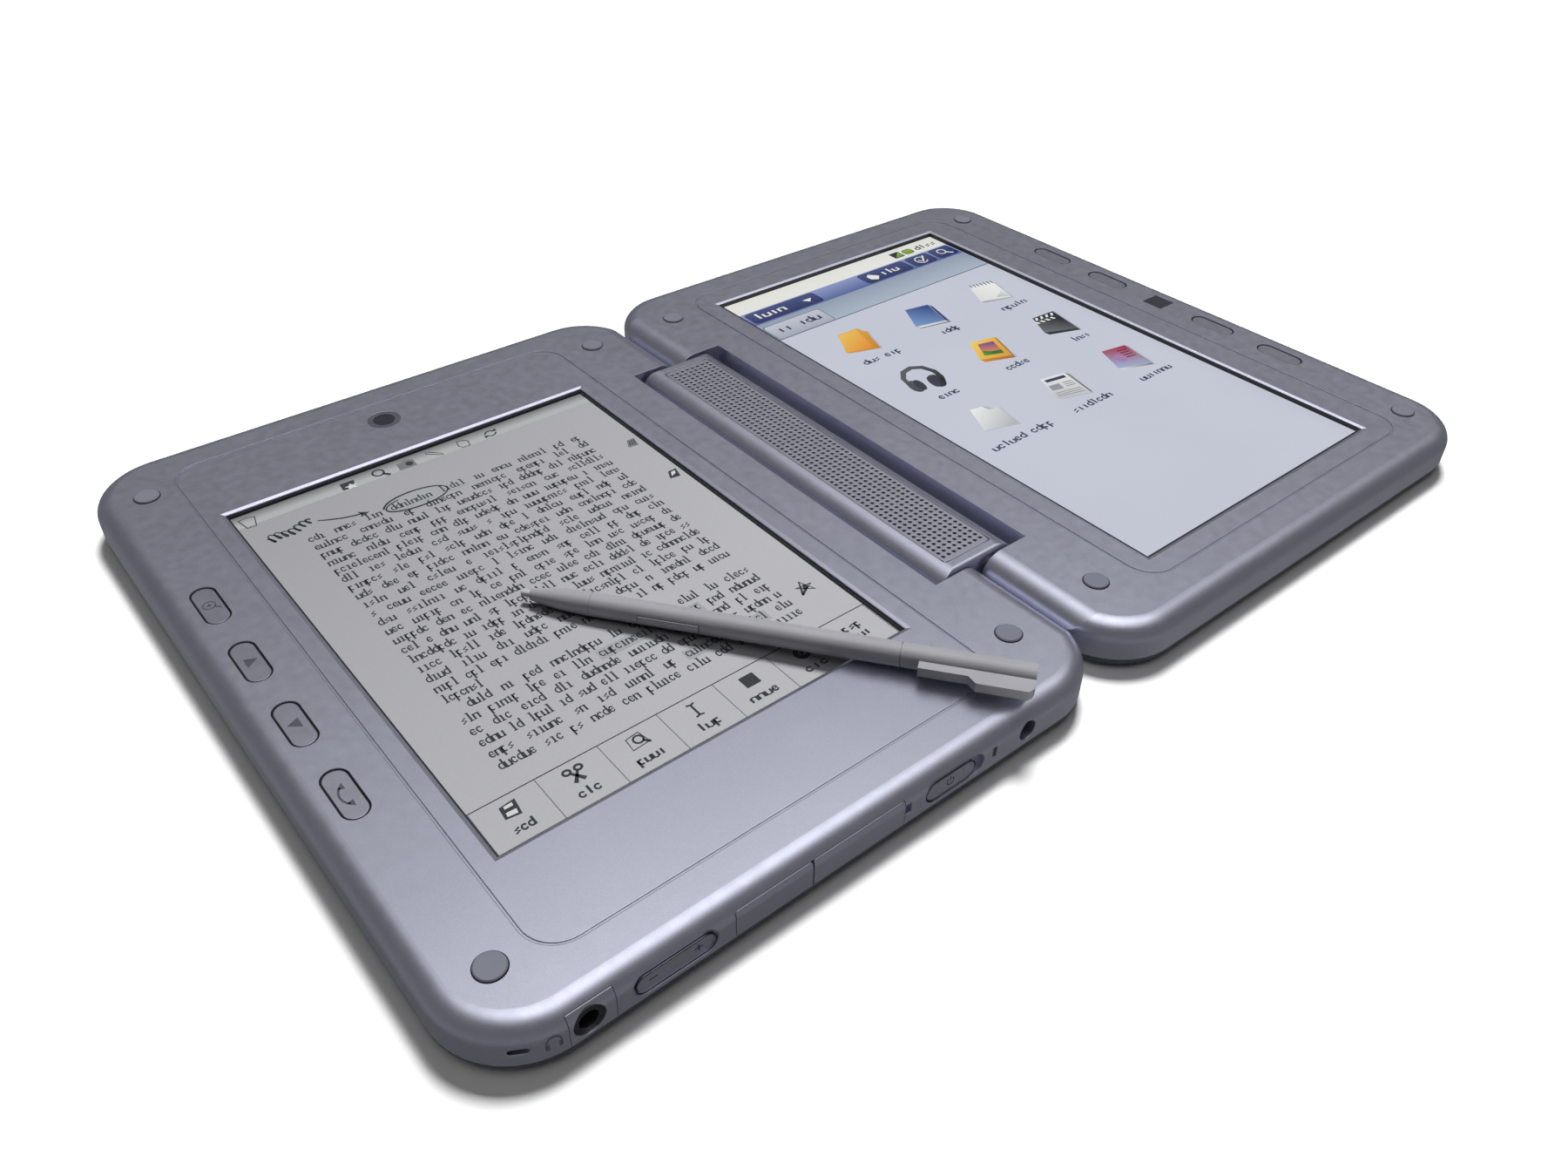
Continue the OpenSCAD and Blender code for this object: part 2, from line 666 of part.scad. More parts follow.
module usb_cover() color([0.54, 0.55, 0.60]) flap(covers_x, usb_hinge_x, 0.5);

module card_cover() color([0.54, 0.55, 0.60]) flap(card_hinge_x, card_end_x, 0.5);

// ---------- pen ----------

// Stands the pen's own frame on the page: its X runs from the point to the cap.
module on_page() {
    translate([pen_tip[0], pen_tip[1], pen_z]) rotate([0, -atan(pen_rest), pen_turn]) children();
}

// A round piece along the pen, from an outline with x as radius and y along the pen.
module pen_turned() {
    rotate([0, 90, 0]) rotate_extrude() children();
}

module pen_nib() color([0.62, 0.62, 0.64]) on_page() pen_turned() {
    difference() {
        square([0.75, nib_l + 2]);
        translate([0.35, 0]) difference() {
            square([1, 0.4]);
            translate([0, 0.4]) circle(0.4);
        }
    }
}

module pen_nose() color([0.78, 0.78, 0.80]) on_page() pen_turned() {
    run = nose_l - nib_l;
    rise = pen_r - pen_nose_r;
    ogive = (run * run + rise * rise) / (2 * rise);
    difference() {
        intersection() {
            translate([0, nib_l]) square([pen_r, run]);
            translate([pen_r - ogive, nose_l]) circle(ogive, $fn = 360);
        }
        translate([-1, -1]) square([1 + 0.78, nib_l + 3.05]);
    }
}

module pen_barrel() color([0.76, 0.76, 0.78]) on_page() difference() {
    union() {
        pen_turned() translate([0, nose_l + 0.05]) square([pen_r, pen_l - cap_l - nose_l - 0.3]);
        pen_turned() translate([0, pen_l - cap_l - 0.3]) square([pen_r - 0.4, 6]);
    }
    translate([pen_button_at - 0.15, -pen_r - 1, -0.95]) cube([pen_button_l + 0.3, 2.4, 1.9]);
}

module pen_button() color([0.74, 0.74, 0.77]) on_page() intersection() {
    translate([pen_button_at, -pen_r - 0.15, -0.8]) cube([pen_button_l, 1, 1.6]);
    translate([0, -0.15, 0]) pen_turned() square([pen_r, pen_l]);
}

// The cap, with a flat flag along one side that lifts the pen out of its well.
module pen_cap() color([0.78, 0.78, 0.80]) on_page() {
    start = pen_l - cap_l;
    difference() {
        union() {
            pen_turned() translate([0, start]) square([pen_r, cap_l]);
            translate([0, 0, -flag_t / 2]) linear_extrude(flag_t) {
                translate([start + 3.6, -4.3]) square([cap_l - 3.6, 3.3]);
                translate([start + 15, -6]) square([cap_l - 16, 4]);
                translate([start + 13.3, -4.3]) polygon([[0, 0], [1.7, -1.7], [1.7, 0]]);
                translate([start + cap_l - 1.8, -4.3]) circle(1.7);
            }
        }
        pen_turned() translate([0, start - 1]) square([pen_r - 0.35, 7]);
    }
}

// ---------- speaker bar ----------

// The bar's section in X and Z.
module bar_section(inset) {
    translate([-bar_round_x, z0 + inset]) square([2 * bar_round_x, shell_t - 2 * inset]);
    for (s = [-1, 1]) translate([s * bar_round_x, mid_z]) circle(bull_r - inset);
}

module bar_form() {
    intersection() {
        translate([0, bar_y, 0]) rotate([90, 0, 0]) linear_extrude(2 * bar_y) bar_section(0);
        translate([-bar_x - 1, 0, 0]) rotate([90, 0, 90]) linear_extrude(2 * bar_x + 2)
            round_rect([-bar_y, z0], [bar_y, z1], 1.2);
    }
}

module bar_hollow() {
    y = bar_y - bar_block;
    translate([0, y, 0]) rotate([90, 0, 0]) linear_extrude(2 * y) bar_section(bar_wall);
}

// Seats of the four hinge barrels.
module barrel_seats(r, l) {
    for (sx = [-1, 1], sy = [-1, 1]) translate([sx * axis_x, sy * (bar_y + 1), mid_z])
        rotate([90 * sy, 0, 0]) cylinder(r = r, h = l + 1);
}

module bar_lower_shell() color([0.50, 0.51, 0.56]) {
    difference() {
        intersection() {
            bar_form();
            block([-bar_x - 1, -bar_y - 1, z0 - 1], [bar_x + 1, bar_y + 1, bar_seam_z]);
        }
        bar_hollow();
        barrel_seats(barrel_r + 0.01, barrel_l + 0.1);
    }
}

module bar_upper_shell() color([0.52, 0.53, 0.58]) {
    grille_y = bar_y - grille_end;
    difference() {
        intersection() {
            bar_form();
            block([-bar_x - 1, -bar_y - 1, bar_seam_z], [bar_x + 1, bar_y + 1, z1 + 1]);
        }
        bar_hollow();
        plate([-grille_x - slack, -grille_y - slack], [grille_x + slack, grille_y + slack], 0.8,
              z1 - grille_t - 0.02, z1 + 1);
        block([-grille_x + 1.2, -(bar_y - bar_block), bar_seam_z - 1], [grille_x - 1.2, bar_y - bar_block, z1]);
    }
}

module speaker_grille() color([0.45, 0.46, 0.51]) {
    grille_y = bar_y - grille_end;
    plate([-grille_x, -grille_y], [grille_x, grille_y], 0.7, z1 - grille_t, z1 - 0.02);
}

// A pair of small oval speakers under the grille.
module speakers() color([0.10, 0.10, 0.11]) {
    for (s = [-1, 1]) translate([0, s * 24, 0]) difference() {
        plate([-6.5, -14], [6.5, 14], 4, z0 + bar_wall + 0.6, bar_seam_z - 0.4);
        plate([-5, -12.5], [5, 12.5], 3, bar_seam_z - 1.6, bar_seam_z + 1);
    }
}

// Steel friction barrels that the hinge pins turn in.
module hinge_barrels() color([0.60, 0.60, 0.62]) {
    for (sx = [-1, 1], sy = [-1, 1]) translate([sx * axis_x, sy * bar_y, mid_z]) rotate([90 * sy, 0, 0])
        difference() {
            cylinder(r = barrel_r, h = barrel_l);
            translate([0, 0, -1]) cylinder(r = pin_r + pin_clear, h = barrel_l + 2);
        }
}

// ---------- colour half ----------

module tablet_holes() {
    bar_cutout();
    pin_holes();
    screw_holes(tablet_screws_at);
}

module tablet_top_shell() color([0.52, 0.53, 0.58]) {
    difference() {
        intersection() {
            half_form();
            block([0, -edge_y - 1, seam_z], [edge_x + 1, edge_y + 1, z1 + 1]);
        }
        difference() {
            half_hollow(tablet_lip);
            upper_bosses(tablet_screws_at, tablet_lip - 1);
        }
        tablet_holes();
        window_cut(tablet_win[0], tablet_win[1], tablet_lip);
        for (y = tablet_key_ys) key_hole(key_x_tablet, y, tablet_key_w, tablet_key_l, tablet_key_r, tablet_lip);
        block([key_x_tablet - sensor_s / 2 - 0.05, sensor_y - sensor_s / 2 - 0.05, z1 - tablet_lip - e],
              [key_x_tablet + sensor_s / 2 + 0.05, sensor_y + sensor_s / 2 + 0.05, z1 + 1]);
        pad_pockets();
        panel_groove();
    }
}

module tablet_bottom_shell() color([0.36, 0.36, 0.40]) {
    difference() {
        intersection() {
            half_form();
            block([0, -edge_y - 1, z0 - 1], [edge_x + 1, edge_y + 1, seam_z]);
        }
        difference() {
            half_hollow(tablet_lip);
            lower_bosses(tablet_screws_at);
        }
        tablet_holes();
        foot_pockets();
    }
}

module tablet_pads() color([0.55, 0.56, 0.60]) pads();

module tablet_feet() color([0.16, 0.16, 0.17]) feet();

module touch_glass() color([0.75, 0.80, 0.88]) {
    top = z1 - tablet_lip - 0.02;
    block([tablet_win[0][0] - screen_lap, tablet_win[0][1] - screen_lap, top - touch_t],
          [tablet_win[1][0] + screen_lap, tablet_win[1][1] + screen_lap, top]);
}

module lcd_gasket() color([0.07, 0.07, 0.08]) {
    gasket(tablet_win[0], tablet_win[1], z1 - tablet_lip, z1 - flare_h - 0.05);
}

module lcd_screen() color([0.70, 0.74, 0.82]) {
    top = z1 - tablet_lip - 0.02 - touch_t - touch_gap;
    block([tablet_win[0][0] - screen_lap, tablet_win[0][1] - screen_lap, top - lcd_t],
          [tablet_win[1][0] + screen_lap, tablet_win[1][1] + screen_lap, top]);
}

module battery_pack() color([0.20, 0.22, 0.26]) {
    x = (tablet_win[0][0] + tablet_win[1][0]) / 2;
    for (s = [-1, 1]) block([x + s * 21 - 20, -58, floor_z + slack], [x + s * 21 + 20, 30, floor_z + slack + battery_t - 0.5]);
}

module radio_board() color([0.08, 0.30, 0.20]) {
    x = (tablet_win[0][0] + tablet_win[1][0]) / 2;
    block([x - 38, 36, floor_z + 0.6], [x + 38, 66, floor_z + 0.6 + board_t]);
    for (s = [-20, 4]) translate([x + s, 42, floor_z + 0.6 + board_t - e]) cube([15, 15, 0.8]);
}

module tablet_key_board() color([0.09, 0.30, 0.20]) {
    top = z1 - tablet_lip - 0.1 - key_wall - 0.3 - key_travel - 0.4;
    reach = tablet_key_steps[1] + tablet_key_l / 2;
    block([key_x_tablet - 2.6, sensor_y - reach, top - board_t], [key_x_tablet + 3.4, sensor_y + reach, top]);
    for (y = tablet_key_ys) translate([key_x_tablet, y, top - e]) cylinder(r = 1.8, h = 0.3);
}

module light_sensor_window() color([0.04, 0.03, 0.05]) {
    block([key_x_tablet - sensor_s / 2, sensor_y - sensor_s / 2, z1 - tablet_lip],
          [key_x_tablet + sensor_s / 2, sensor_y + sensor_s / 2, z1 - 0.1]);
}

module tablet_screws() color([0.30, 0.30, 0.32]) screws(tablet_screws_at);

module tablet_hinge_pins() color([0.70, 0.70, 0.72]) half_pins();

module tablet_key(i) {
    color([0.50, 0.51, 0.56])
        key(key_x_tablet, tablet_key_ys[i], tablet_key_w, tablet_key_l, tablet_key_r, tablet_lip);
}

module back_key() tablet_key(0);
module search_key() tablet_key(1);
module home_key() tablet_key(2);
module menu_key() tablet_key(3);

reader_top_shell();
reader_bottom_shell();
reader_pads();
reader_feet();
eink_screen();
eink_gasket();
digitizer_board();
main_board();
reader_key_board();
camera_bezel();
camera_glass();
camera_module();
headphone_socket();
socket_surround();
power_socket();
power_light();
usb_socket();
card_socket();
reader_screws();
reader_hinge_pins();
zoom_key();
page_up_key();
page_down_key();
rotate_key();
volume_rocker();
power_slider();
usb_cover();
card_cover();
pen_barrel();
pen_nose();
pen_nib();
pen_cap();
pen_button();
bar_lower_shell();
bar_upper_shell();
speaker_grille();
speakers();
hinge_barrels();
tablet_top_shell();
tablet_bottom_shell();
tablet_pads();
tablet_feet();
touch_glass();
lcd_gasket();
lcd_screen();
battery_pack();
radio_board();
tablet_key_board();
light_sensor_window();
tablet_screws();
tablet_hinge_pins();
menu_key();
home_key();
back_key();
search_key();
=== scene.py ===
"""Two-screen folding pocket reader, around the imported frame: finishes, printed and moulded
details, light and camera. Sizes and places are in millimetres until they are scaled by MM."""

import json
import math
import random

import bmesh
import bpy
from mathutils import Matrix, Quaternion, Vector


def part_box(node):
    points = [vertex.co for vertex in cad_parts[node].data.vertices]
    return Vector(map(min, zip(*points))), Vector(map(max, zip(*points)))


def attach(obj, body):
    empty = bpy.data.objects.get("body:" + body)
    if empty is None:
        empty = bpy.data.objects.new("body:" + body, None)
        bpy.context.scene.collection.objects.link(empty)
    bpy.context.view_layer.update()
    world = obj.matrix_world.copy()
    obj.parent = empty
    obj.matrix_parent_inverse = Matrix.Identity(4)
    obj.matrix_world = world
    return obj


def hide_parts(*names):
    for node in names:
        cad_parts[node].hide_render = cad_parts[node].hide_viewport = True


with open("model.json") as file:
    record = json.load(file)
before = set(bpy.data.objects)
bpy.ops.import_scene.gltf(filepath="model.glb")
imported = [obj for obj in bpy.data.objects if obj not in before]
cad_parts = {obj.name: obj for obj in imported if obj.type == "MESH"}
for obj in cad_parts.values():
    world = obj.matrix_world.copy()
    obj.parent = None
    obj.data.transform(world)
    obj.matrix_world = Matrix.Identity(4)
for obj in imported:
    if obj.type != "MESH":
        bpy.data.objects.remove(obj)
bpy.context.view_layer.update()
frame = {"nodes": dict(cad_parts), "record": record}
nodes = frame["nodes"]
slot_of = {s["node"]: s["material_slot"] for s in frame["record"]["subparts"]}
MM = 0.001

READER_KEYS = ("zoom_key", "page_up_key", "page_down_key", "rotate_key")
TABLET_KEYS = ("menu_key", "home_key", "back_key", "search_key")


def box_mm(node):
    """A node's low and high corners."""
    return [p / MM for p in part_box(node)]


def top_middle(node):
    """The middle of a node's box, at its top."""
    lo, hi = box_mm(node)
    return Vector(((lo.x + hi.x) / 2, (lo.y + hi.y) / 2, hi.z))


# ---------- materials ----------


def srgb(r, g, b):
    """A screen colour, 0 to 255, as the linear colour that a shader takes."""
    return tuple(
        c / 12.92 if c <= 0.04045 else ((c + 0.055) / 1.055) ** 2.4
        for c in (r / 255, g / 255, b / 255)
    ) + (1.0,)


class Finish:
    """A material being put together from nodes."""

    def __init__(self, name, **sockets):
        self.mat = bpy.data.materials.new(name)
        self.mat.use_nodes = True
        self.tree = self.mat.node_tree
        self.tree.nodes.clear()
        self.shader = self.add("ShaderNodeBsdfPrincipled")
        self.link(self.shader.outputs[0], self.add("ShaderNodeOutputMaterial").inputs["Surface"])
        self.place = self.add("ShaderNodeTexCoord").outputs["Object"]
        for key, value in sockets.items():
            self.shader.inputs[key.replace("_", " ")].default_value = value

    def add(self, kind, **settings):
        node = self.tree.nodes.new(kind)
        for key, value in settings.items():
            setattr(node, key, value)
        return node

    def link(self, a, b):
        self.tree.links.new(a, b)

    def noise(self, scale, detail=2.0, rough=0.5, stretch=None):
        """Noise over the surface; scale is in features per metre."""
        n = self.add("ShaderNodeTexNoise")
        n.inputs["Scale"].default_value = scale
        n.inputs["Detail"].default_value = detail
        n.inputs["Roughness"].default_value = rough
        place = self.place
        if stretch:
            m = self.add("ShaderNodeMapping")
            m.inputs["Scale"].default_value = stretch
            self.link(place, m.inputs["Vector"])
            place = m.outputs[0]
        self.link(place, n.inputs["Vector"])
        return n.outputs["Fac"]

    def cells(self, scale):
        """A random value for each small cell, for metal flakes."""
        v = self.add("ShaderNodeTexVoronoi")
        v.inputs["Scale"].default_value = scale
        self.link(self.place, v.inputs["Vector"])
        s = self.add("ShaderNodeSeparateColor")
        self.link(v.outputs["Color"], s.inputs[0])
        return s.outputs[0]

    def waves(self, way, scale):
        """Even bands across one axis, each 0.314 / scale metres wide."""
        w = self.add("ShaderNodeTexWave", wave_type="BANDS", bands_direction=way)
        w.inputs["Scale"].default_value = scale
        self.link(self.place, w.inputs["Vector"])
        return w.outputs["Fac"]

    def spread(self, value, low, high, frm=(0.3, 0.7)):
        """A value mapped from the span frm to the span from low to high."""
        m = self.add("ShaderNodeMapRange")
        for key, v in zip(("From Min", "From Max", "To Min", "To Max"), (*frm, low, high)):
            m.inputs[key].default_value = v
        self.link(value, m.inputs["Value"])
        return m.outputs[0]

    def math(self, what, a, b):
        m = self.add("ShaderNodeMath", operation=what)
        for i, v in enumerate((a, b)):
            if isinstance(v, (int, float)):
                m.inputs[i].default_value = v
            else:
                self.link(v, m.inputs[i])
        return m.outputs[0]

    def blend(self, factor, a, b):
        """Colour a where the factor is 0 and colour b where it is 1."""
        m = self.add("ShaderNodeMix", data_type="RGBA")
        self.link(factor, m.inputs["Factor"])
        for socket, v in ((m.inputs[6], a), (m.inputs[7], b)):
            if isinstance(v, tuple):
                socket.default_value = v
            else:
                self.link(v, socket)
        return m.outputs[2]

    def slope(self, start, end):
        """0 at start and 1 at end, two points in the row frame."""
        a, d = Vector(start) * MM, (Vector(end) - Vector(start)) * MM
        s = self.add("ShaderNodeVectorMath", operation="SUBTRACT")
        s.inputs[1].default_value = a
        self.link(self.place, s.inputs[0])
        p = self.add("ShaderNodeVectorMath", operation="DOT_PRODUCT")
        p.inputs[1].default_value = d / d.length_squared
        self.link(s.outputs[0], p.inputs[0])
        return self.spread(p.outputs["Value"], 0.0, 1.0, frm=(0.0, 1.0))

    def bump(self, height, depth, edge=0.0):
        """Relief of this depth, over corners that the render rounds to the radius edge."""
        b = self.add("ShaderNodeBump")
        if edge:
            soft = self.add("ShaderNodeBevel", samples=6)
            soft.inputs["Radius"].default_value = edge * MM
            self.link(soft.outputs[0], b.inputs["Normal"])
        b.inputs["Distance"].default_value = depth * MM
        b.inputs["Strength"].default_value = 1.0
        self.link(height, b.inputs["Height"])
        self.link(b.outputs[0], self.shader.inputs["Normal"])

    def to(self, socket, value):
        self.link(value, self.shader.inputs[socket])


def paint(name, dark, light, rough, metallic):
    """Metallic paint: fine flakes, a slow cloudiness, and a faint orange peel."""
    f = Finish(name, Metallic=metallic)
    flakes = f.math("MULTIPLY", f.cells(6500), 0.45)
    clouds = f.math("MULTIPLY", f.noise(38, 3), 0.55)
    tone = f.math("ADD", flakes, clouds)
    f.to("Base Color", f.blend(f.spread(tone, 0, 1, (0.2, 0.8)), dark, light))
    f.to("Roughness", f.spread(f.noise(420, 3), rough - 0.03, rough + 0.04))
    f.bump(f.noise(2600, 3, 0.6), 0.004, edge=0.22)
    return f.mat


def moulded(name, dark, light, rough, grain=0.006, **sockets):
    """Moulded plastic or rubber with a fine grain, as deep as grain says."""
    f = Finish(name, **sockets)
    f.to("Base Color", f.blend(f.spread(f.noise(60, 4), 0, 1), dark, light))
    f.to("Roughness", f.spread(f.noise(600, 2), rough - 0.05, rough + 0.05))
    f.bump(f.noise(1800, 4, 0.6), grain)
    return f.mat


def brushed(name, dark, light, rough, stretch):
    """Bare metal with drawn or turned marks."""
    f = Finish(name, Metallic=1.0)
    lines = f.noise(700, 4, 0.6, stretch)
    f.to("Base Color", f.blend(f.spread(lines, 0, 1), dark, light))
    f.to("Roughness", f.spread(lines, rough - 0.06, rough + 0.08))
    f.bump(lines, 0.003)
    return f.mat


def lit(name, near, far, start=None, end=None):
    """A colour of the lit screen with the panel's fine rows. It changes from near to far between
    two points, or in slow clouds where none are given."""
    f = Finish(name, Base_Color=(0.012, 0.012, 0.014, 1), Roughness=0.5, Emission_Strength=1.0,
               Specular_IOR_Level=0.1)
    way = f.slope(start, end) if start else f.spread(f.noise(25, 2), 0, 1)
    rows = f.spread(f.waves("Y", 1600), 0.0, 0.05, (0, 1))
    f.to("Emission Color", f.blend(rows, f.blend(way, near, far), (0, 0, 0, 1)))
    return f.mat


def ink(name, dark, light):
    """Print or e-paper particles: slightly uneven, dead matt."""
    f = Finish(name)
    f.to("Base Color", f.blend(f.spread(f.noise(5200, 3), 0, 1), dark, light))
    f.to("Roughness", f.spread(f.noise(900, 2), 0.68, 0.82))
    f.bump(f.noise(6000, 2), 0.002)
    return f.mat


def page_sheet():
    """The e-paper surface: grey, with painted shade that makes it a little darker towards its key side and
    head.
    """
    f = Finish("page_sheet", Specular_IOR_Level=0.25)
    grain = f.spread(f.noise(7000, 3), 0, 1, (0.25, 0.75))
    near = f.blend(grain, srgb(140, 140, 143), srgb(148, 148, 151))
    far = f.blend(grain, srgb(164, 164, 168), srgb(172, 172, 176))
    # The slope from near to far is painted shade, darkest at the key side and head.
    f.to("Base Color", f.blend(f.slope((-124, 62, 10), (-62, -40, 10)), near, far))
    f.to("Roughness", f.spread(f.noise(1500, 2), 0.55, 0.66))
    f.bump(f.noise(5000, 3), 0.003)
    return f.mat


def toolbar_sheet(head_y):
    """The grey band at the head of the page, with a painted shadow of the window's edge that darkens its
    upper edge.
    """
    f = Finish("page_toolbar", Roughness=0.6)
    # Painted shadow: dark at the band's upper edge, fading out 3.6 mm below it.
    painted_edge_shadow = f.slope((-76, head_y, 10), (-76, head_y - 3.6, 10))
    f.to("Base Color", f.blend(painted_edge_shadow, srgb(92, 94, 96), srgb(160, 162, 162)))
    return f.mat


def clear_glass():
    """The touch glass, nearly all clear."""
    f = Finish("clear_glass", Base_Color=(0.01, 0.012, 0.016, 1), Alpha=0.06, Coat_Weight=1.0)
    f.to("Roughness", f.spread(f.noise(180, 4), 0.05, 0.13))
    return f.mat


def cloth(name, colour):
    """A woven dust cloth, four threads to the millimetre."""
    f = Finish(name, Sheen_Weight=0.3)
    weave = f.math("MULTIPLY", f.waves("X", 1256), f.waves("Y", 1256))
    f.to("Base Color", f.blend(weave, (0.004, 0.004, 0.005, 1), colour))
    f.to("Roughness", f.spread(weave, 0.8, 0.95, (0, 1)))
    f.bump(weave, 0.03)
    return f.mat


def floor_white():
    """The plain pale floor."""
    f = Finish("floor_white", Roughness=0.9, Specular_IOR_Level=0.1)
    clouds = f.spread(f.noise(3, 3), 0, 1)
    f.to("Base Color", f.blend(clouds, (0.93, 0.93, 0.93, 1), (0.95, 0.95, 0.95, 1)))
    return f.mat


finishes = {
    "shell_silver": paint("silver_paint", srgb(204, 206, 224), srgb(216, 218, 236), 0.34, 0.96),
    # A darker copy of the silver paint for the bottom shell: painted shade where it faces the floor.
    "shell_dark": paint("painted_shade_silver_paint", srgb(92, 92, 104), srgb(104, 104, 116), 0.45, 0.7),
    "key_silver": paint("key_paint", srgb(186, 187, 203), srgb(198, 199, 215), 0.3, 0.9),
    "pad_rubber": moulded("pad_rubber", srgb(106, 108, 120), srgb(114, 116, 128), 0.45),
    "foot_rubber": moulded("foot_rubber", srgb(28, 28, 30), srgb(40, 40, 42), 0.8, grain=0.02),
    "page_screen": page_sheet(),
    "colour_screen": lit("screen_ground", srgb(203, 207, 221), srgb(207, 211, 224)),
    "touch_glass": clear_glass(),
    "board_green": moulded("board_green", srgb(20, 84, 56), srgb(30, 104, 70), 0.45),
    "camera_ring": moulded("camera_ring", srgb(70, 71, 80), srgb(80, 81, 90), 0.3,
                           grain=0.002, Coat_Weight=0.4),
    "lens_glass": moulded("lens_glass", srgb(30, 30, 38), srgb(44, 44, 54), 0.12,
                          grain=0.0005, Coat_Weight=0.8),
    "black_plastic": moulded("black_plastic", srgb(24, 24, 30), srgb(34, 34, 40), 0.42),
    "light_pipe": moulded("light_pipe", srgb(40, 40, 50), srgb(56, 56, 66), 0.25,
                          grain=0.001, Coat_Weight=0.5),
    "socket_metal": brushed("socket_metal", srgb(150, 150, 152), srgb(196, 196, 198), 0.35, (1, 6, 1)),
    "pin_steel": brushed("pin_steel", srgb(150, 150, 154), srgb(190, 190, 194), 0.3, (1, 8, 1)),
    "screw_black": brushed("screw_black", srgb(44, 44, 48), srgb(70, 70, 74), 0.42, (6, 6, 1)),
    "pen_plastic": moulded("pen_plastic", srgb(150, 149, 155), srgb(158, 157, 163), 0.36,
                           grain=0.002, Coat_Weight=0.2),
    "nib_plastic": moulded("nib_plastic", srgb(170, 170, 176), srgb(182, 182, 188), 0.5),
    "grille_metal": paint("grille_paint", srgb(190, 191, 206), srgb(202, 203, 218), 0.38, 0.9),
    "battery_wrap": moulded("battery_wrap", srgb(60, 64, 74), srgb(74, 78, 90), 0.35),
}
for name, node in nodes.items():
    node.data.materials.clear()
    node.data.materials.append(finishes[slot_of[name]])


def soften(node, width, segments):
    """Rounds the moulded edges of a plain piece."""
    m = nodes[node].modifiers.new("soft_edges", "BEVEL")
    m.width = width * MM
    m.segments = segments
    m.limit_method = "ANGLE"
    m.angle_limit = math.radians(50)
    m.use_clamp_overlap = True


for names, width, segments in (
    (READER_KEYS, 0.55, 4),
    (TABLET_KEYS, 0.45, 4),
    (("reader_pads", "tablet_pads", "volume_rocker", "power_slider"), 0.4, 4),
    (("usb_cover", "card_cover", "camera_bezel", "socket_surround"), 0.12, 2),
):
    for name in names:
        soften(name, width, segments)


# ---------- thin marks and pictures ----------


def on_oval(x, y, rx, ry, degrees):
    """The point of an ellipse at this angle."""
    a = math.radians(degrees)
    return (x + rx * math.cos(a), y + ry * math.sin(a))


def add_object(name, bm, body, finish_list):
    """Turns a finished bmesh into an object that rides a body."""
    mesh = bpy.data.meshes.new(name)
    bm.to_mesh(mesh)
    bm.free()
    for finish in finish_list:
        mesh.materials.append(finish)
    obj = bpy.data.objects.new(name, mesh)
    bpy.context.scene.collection.objects.link(obj)
    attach(obj, body)
    return obj


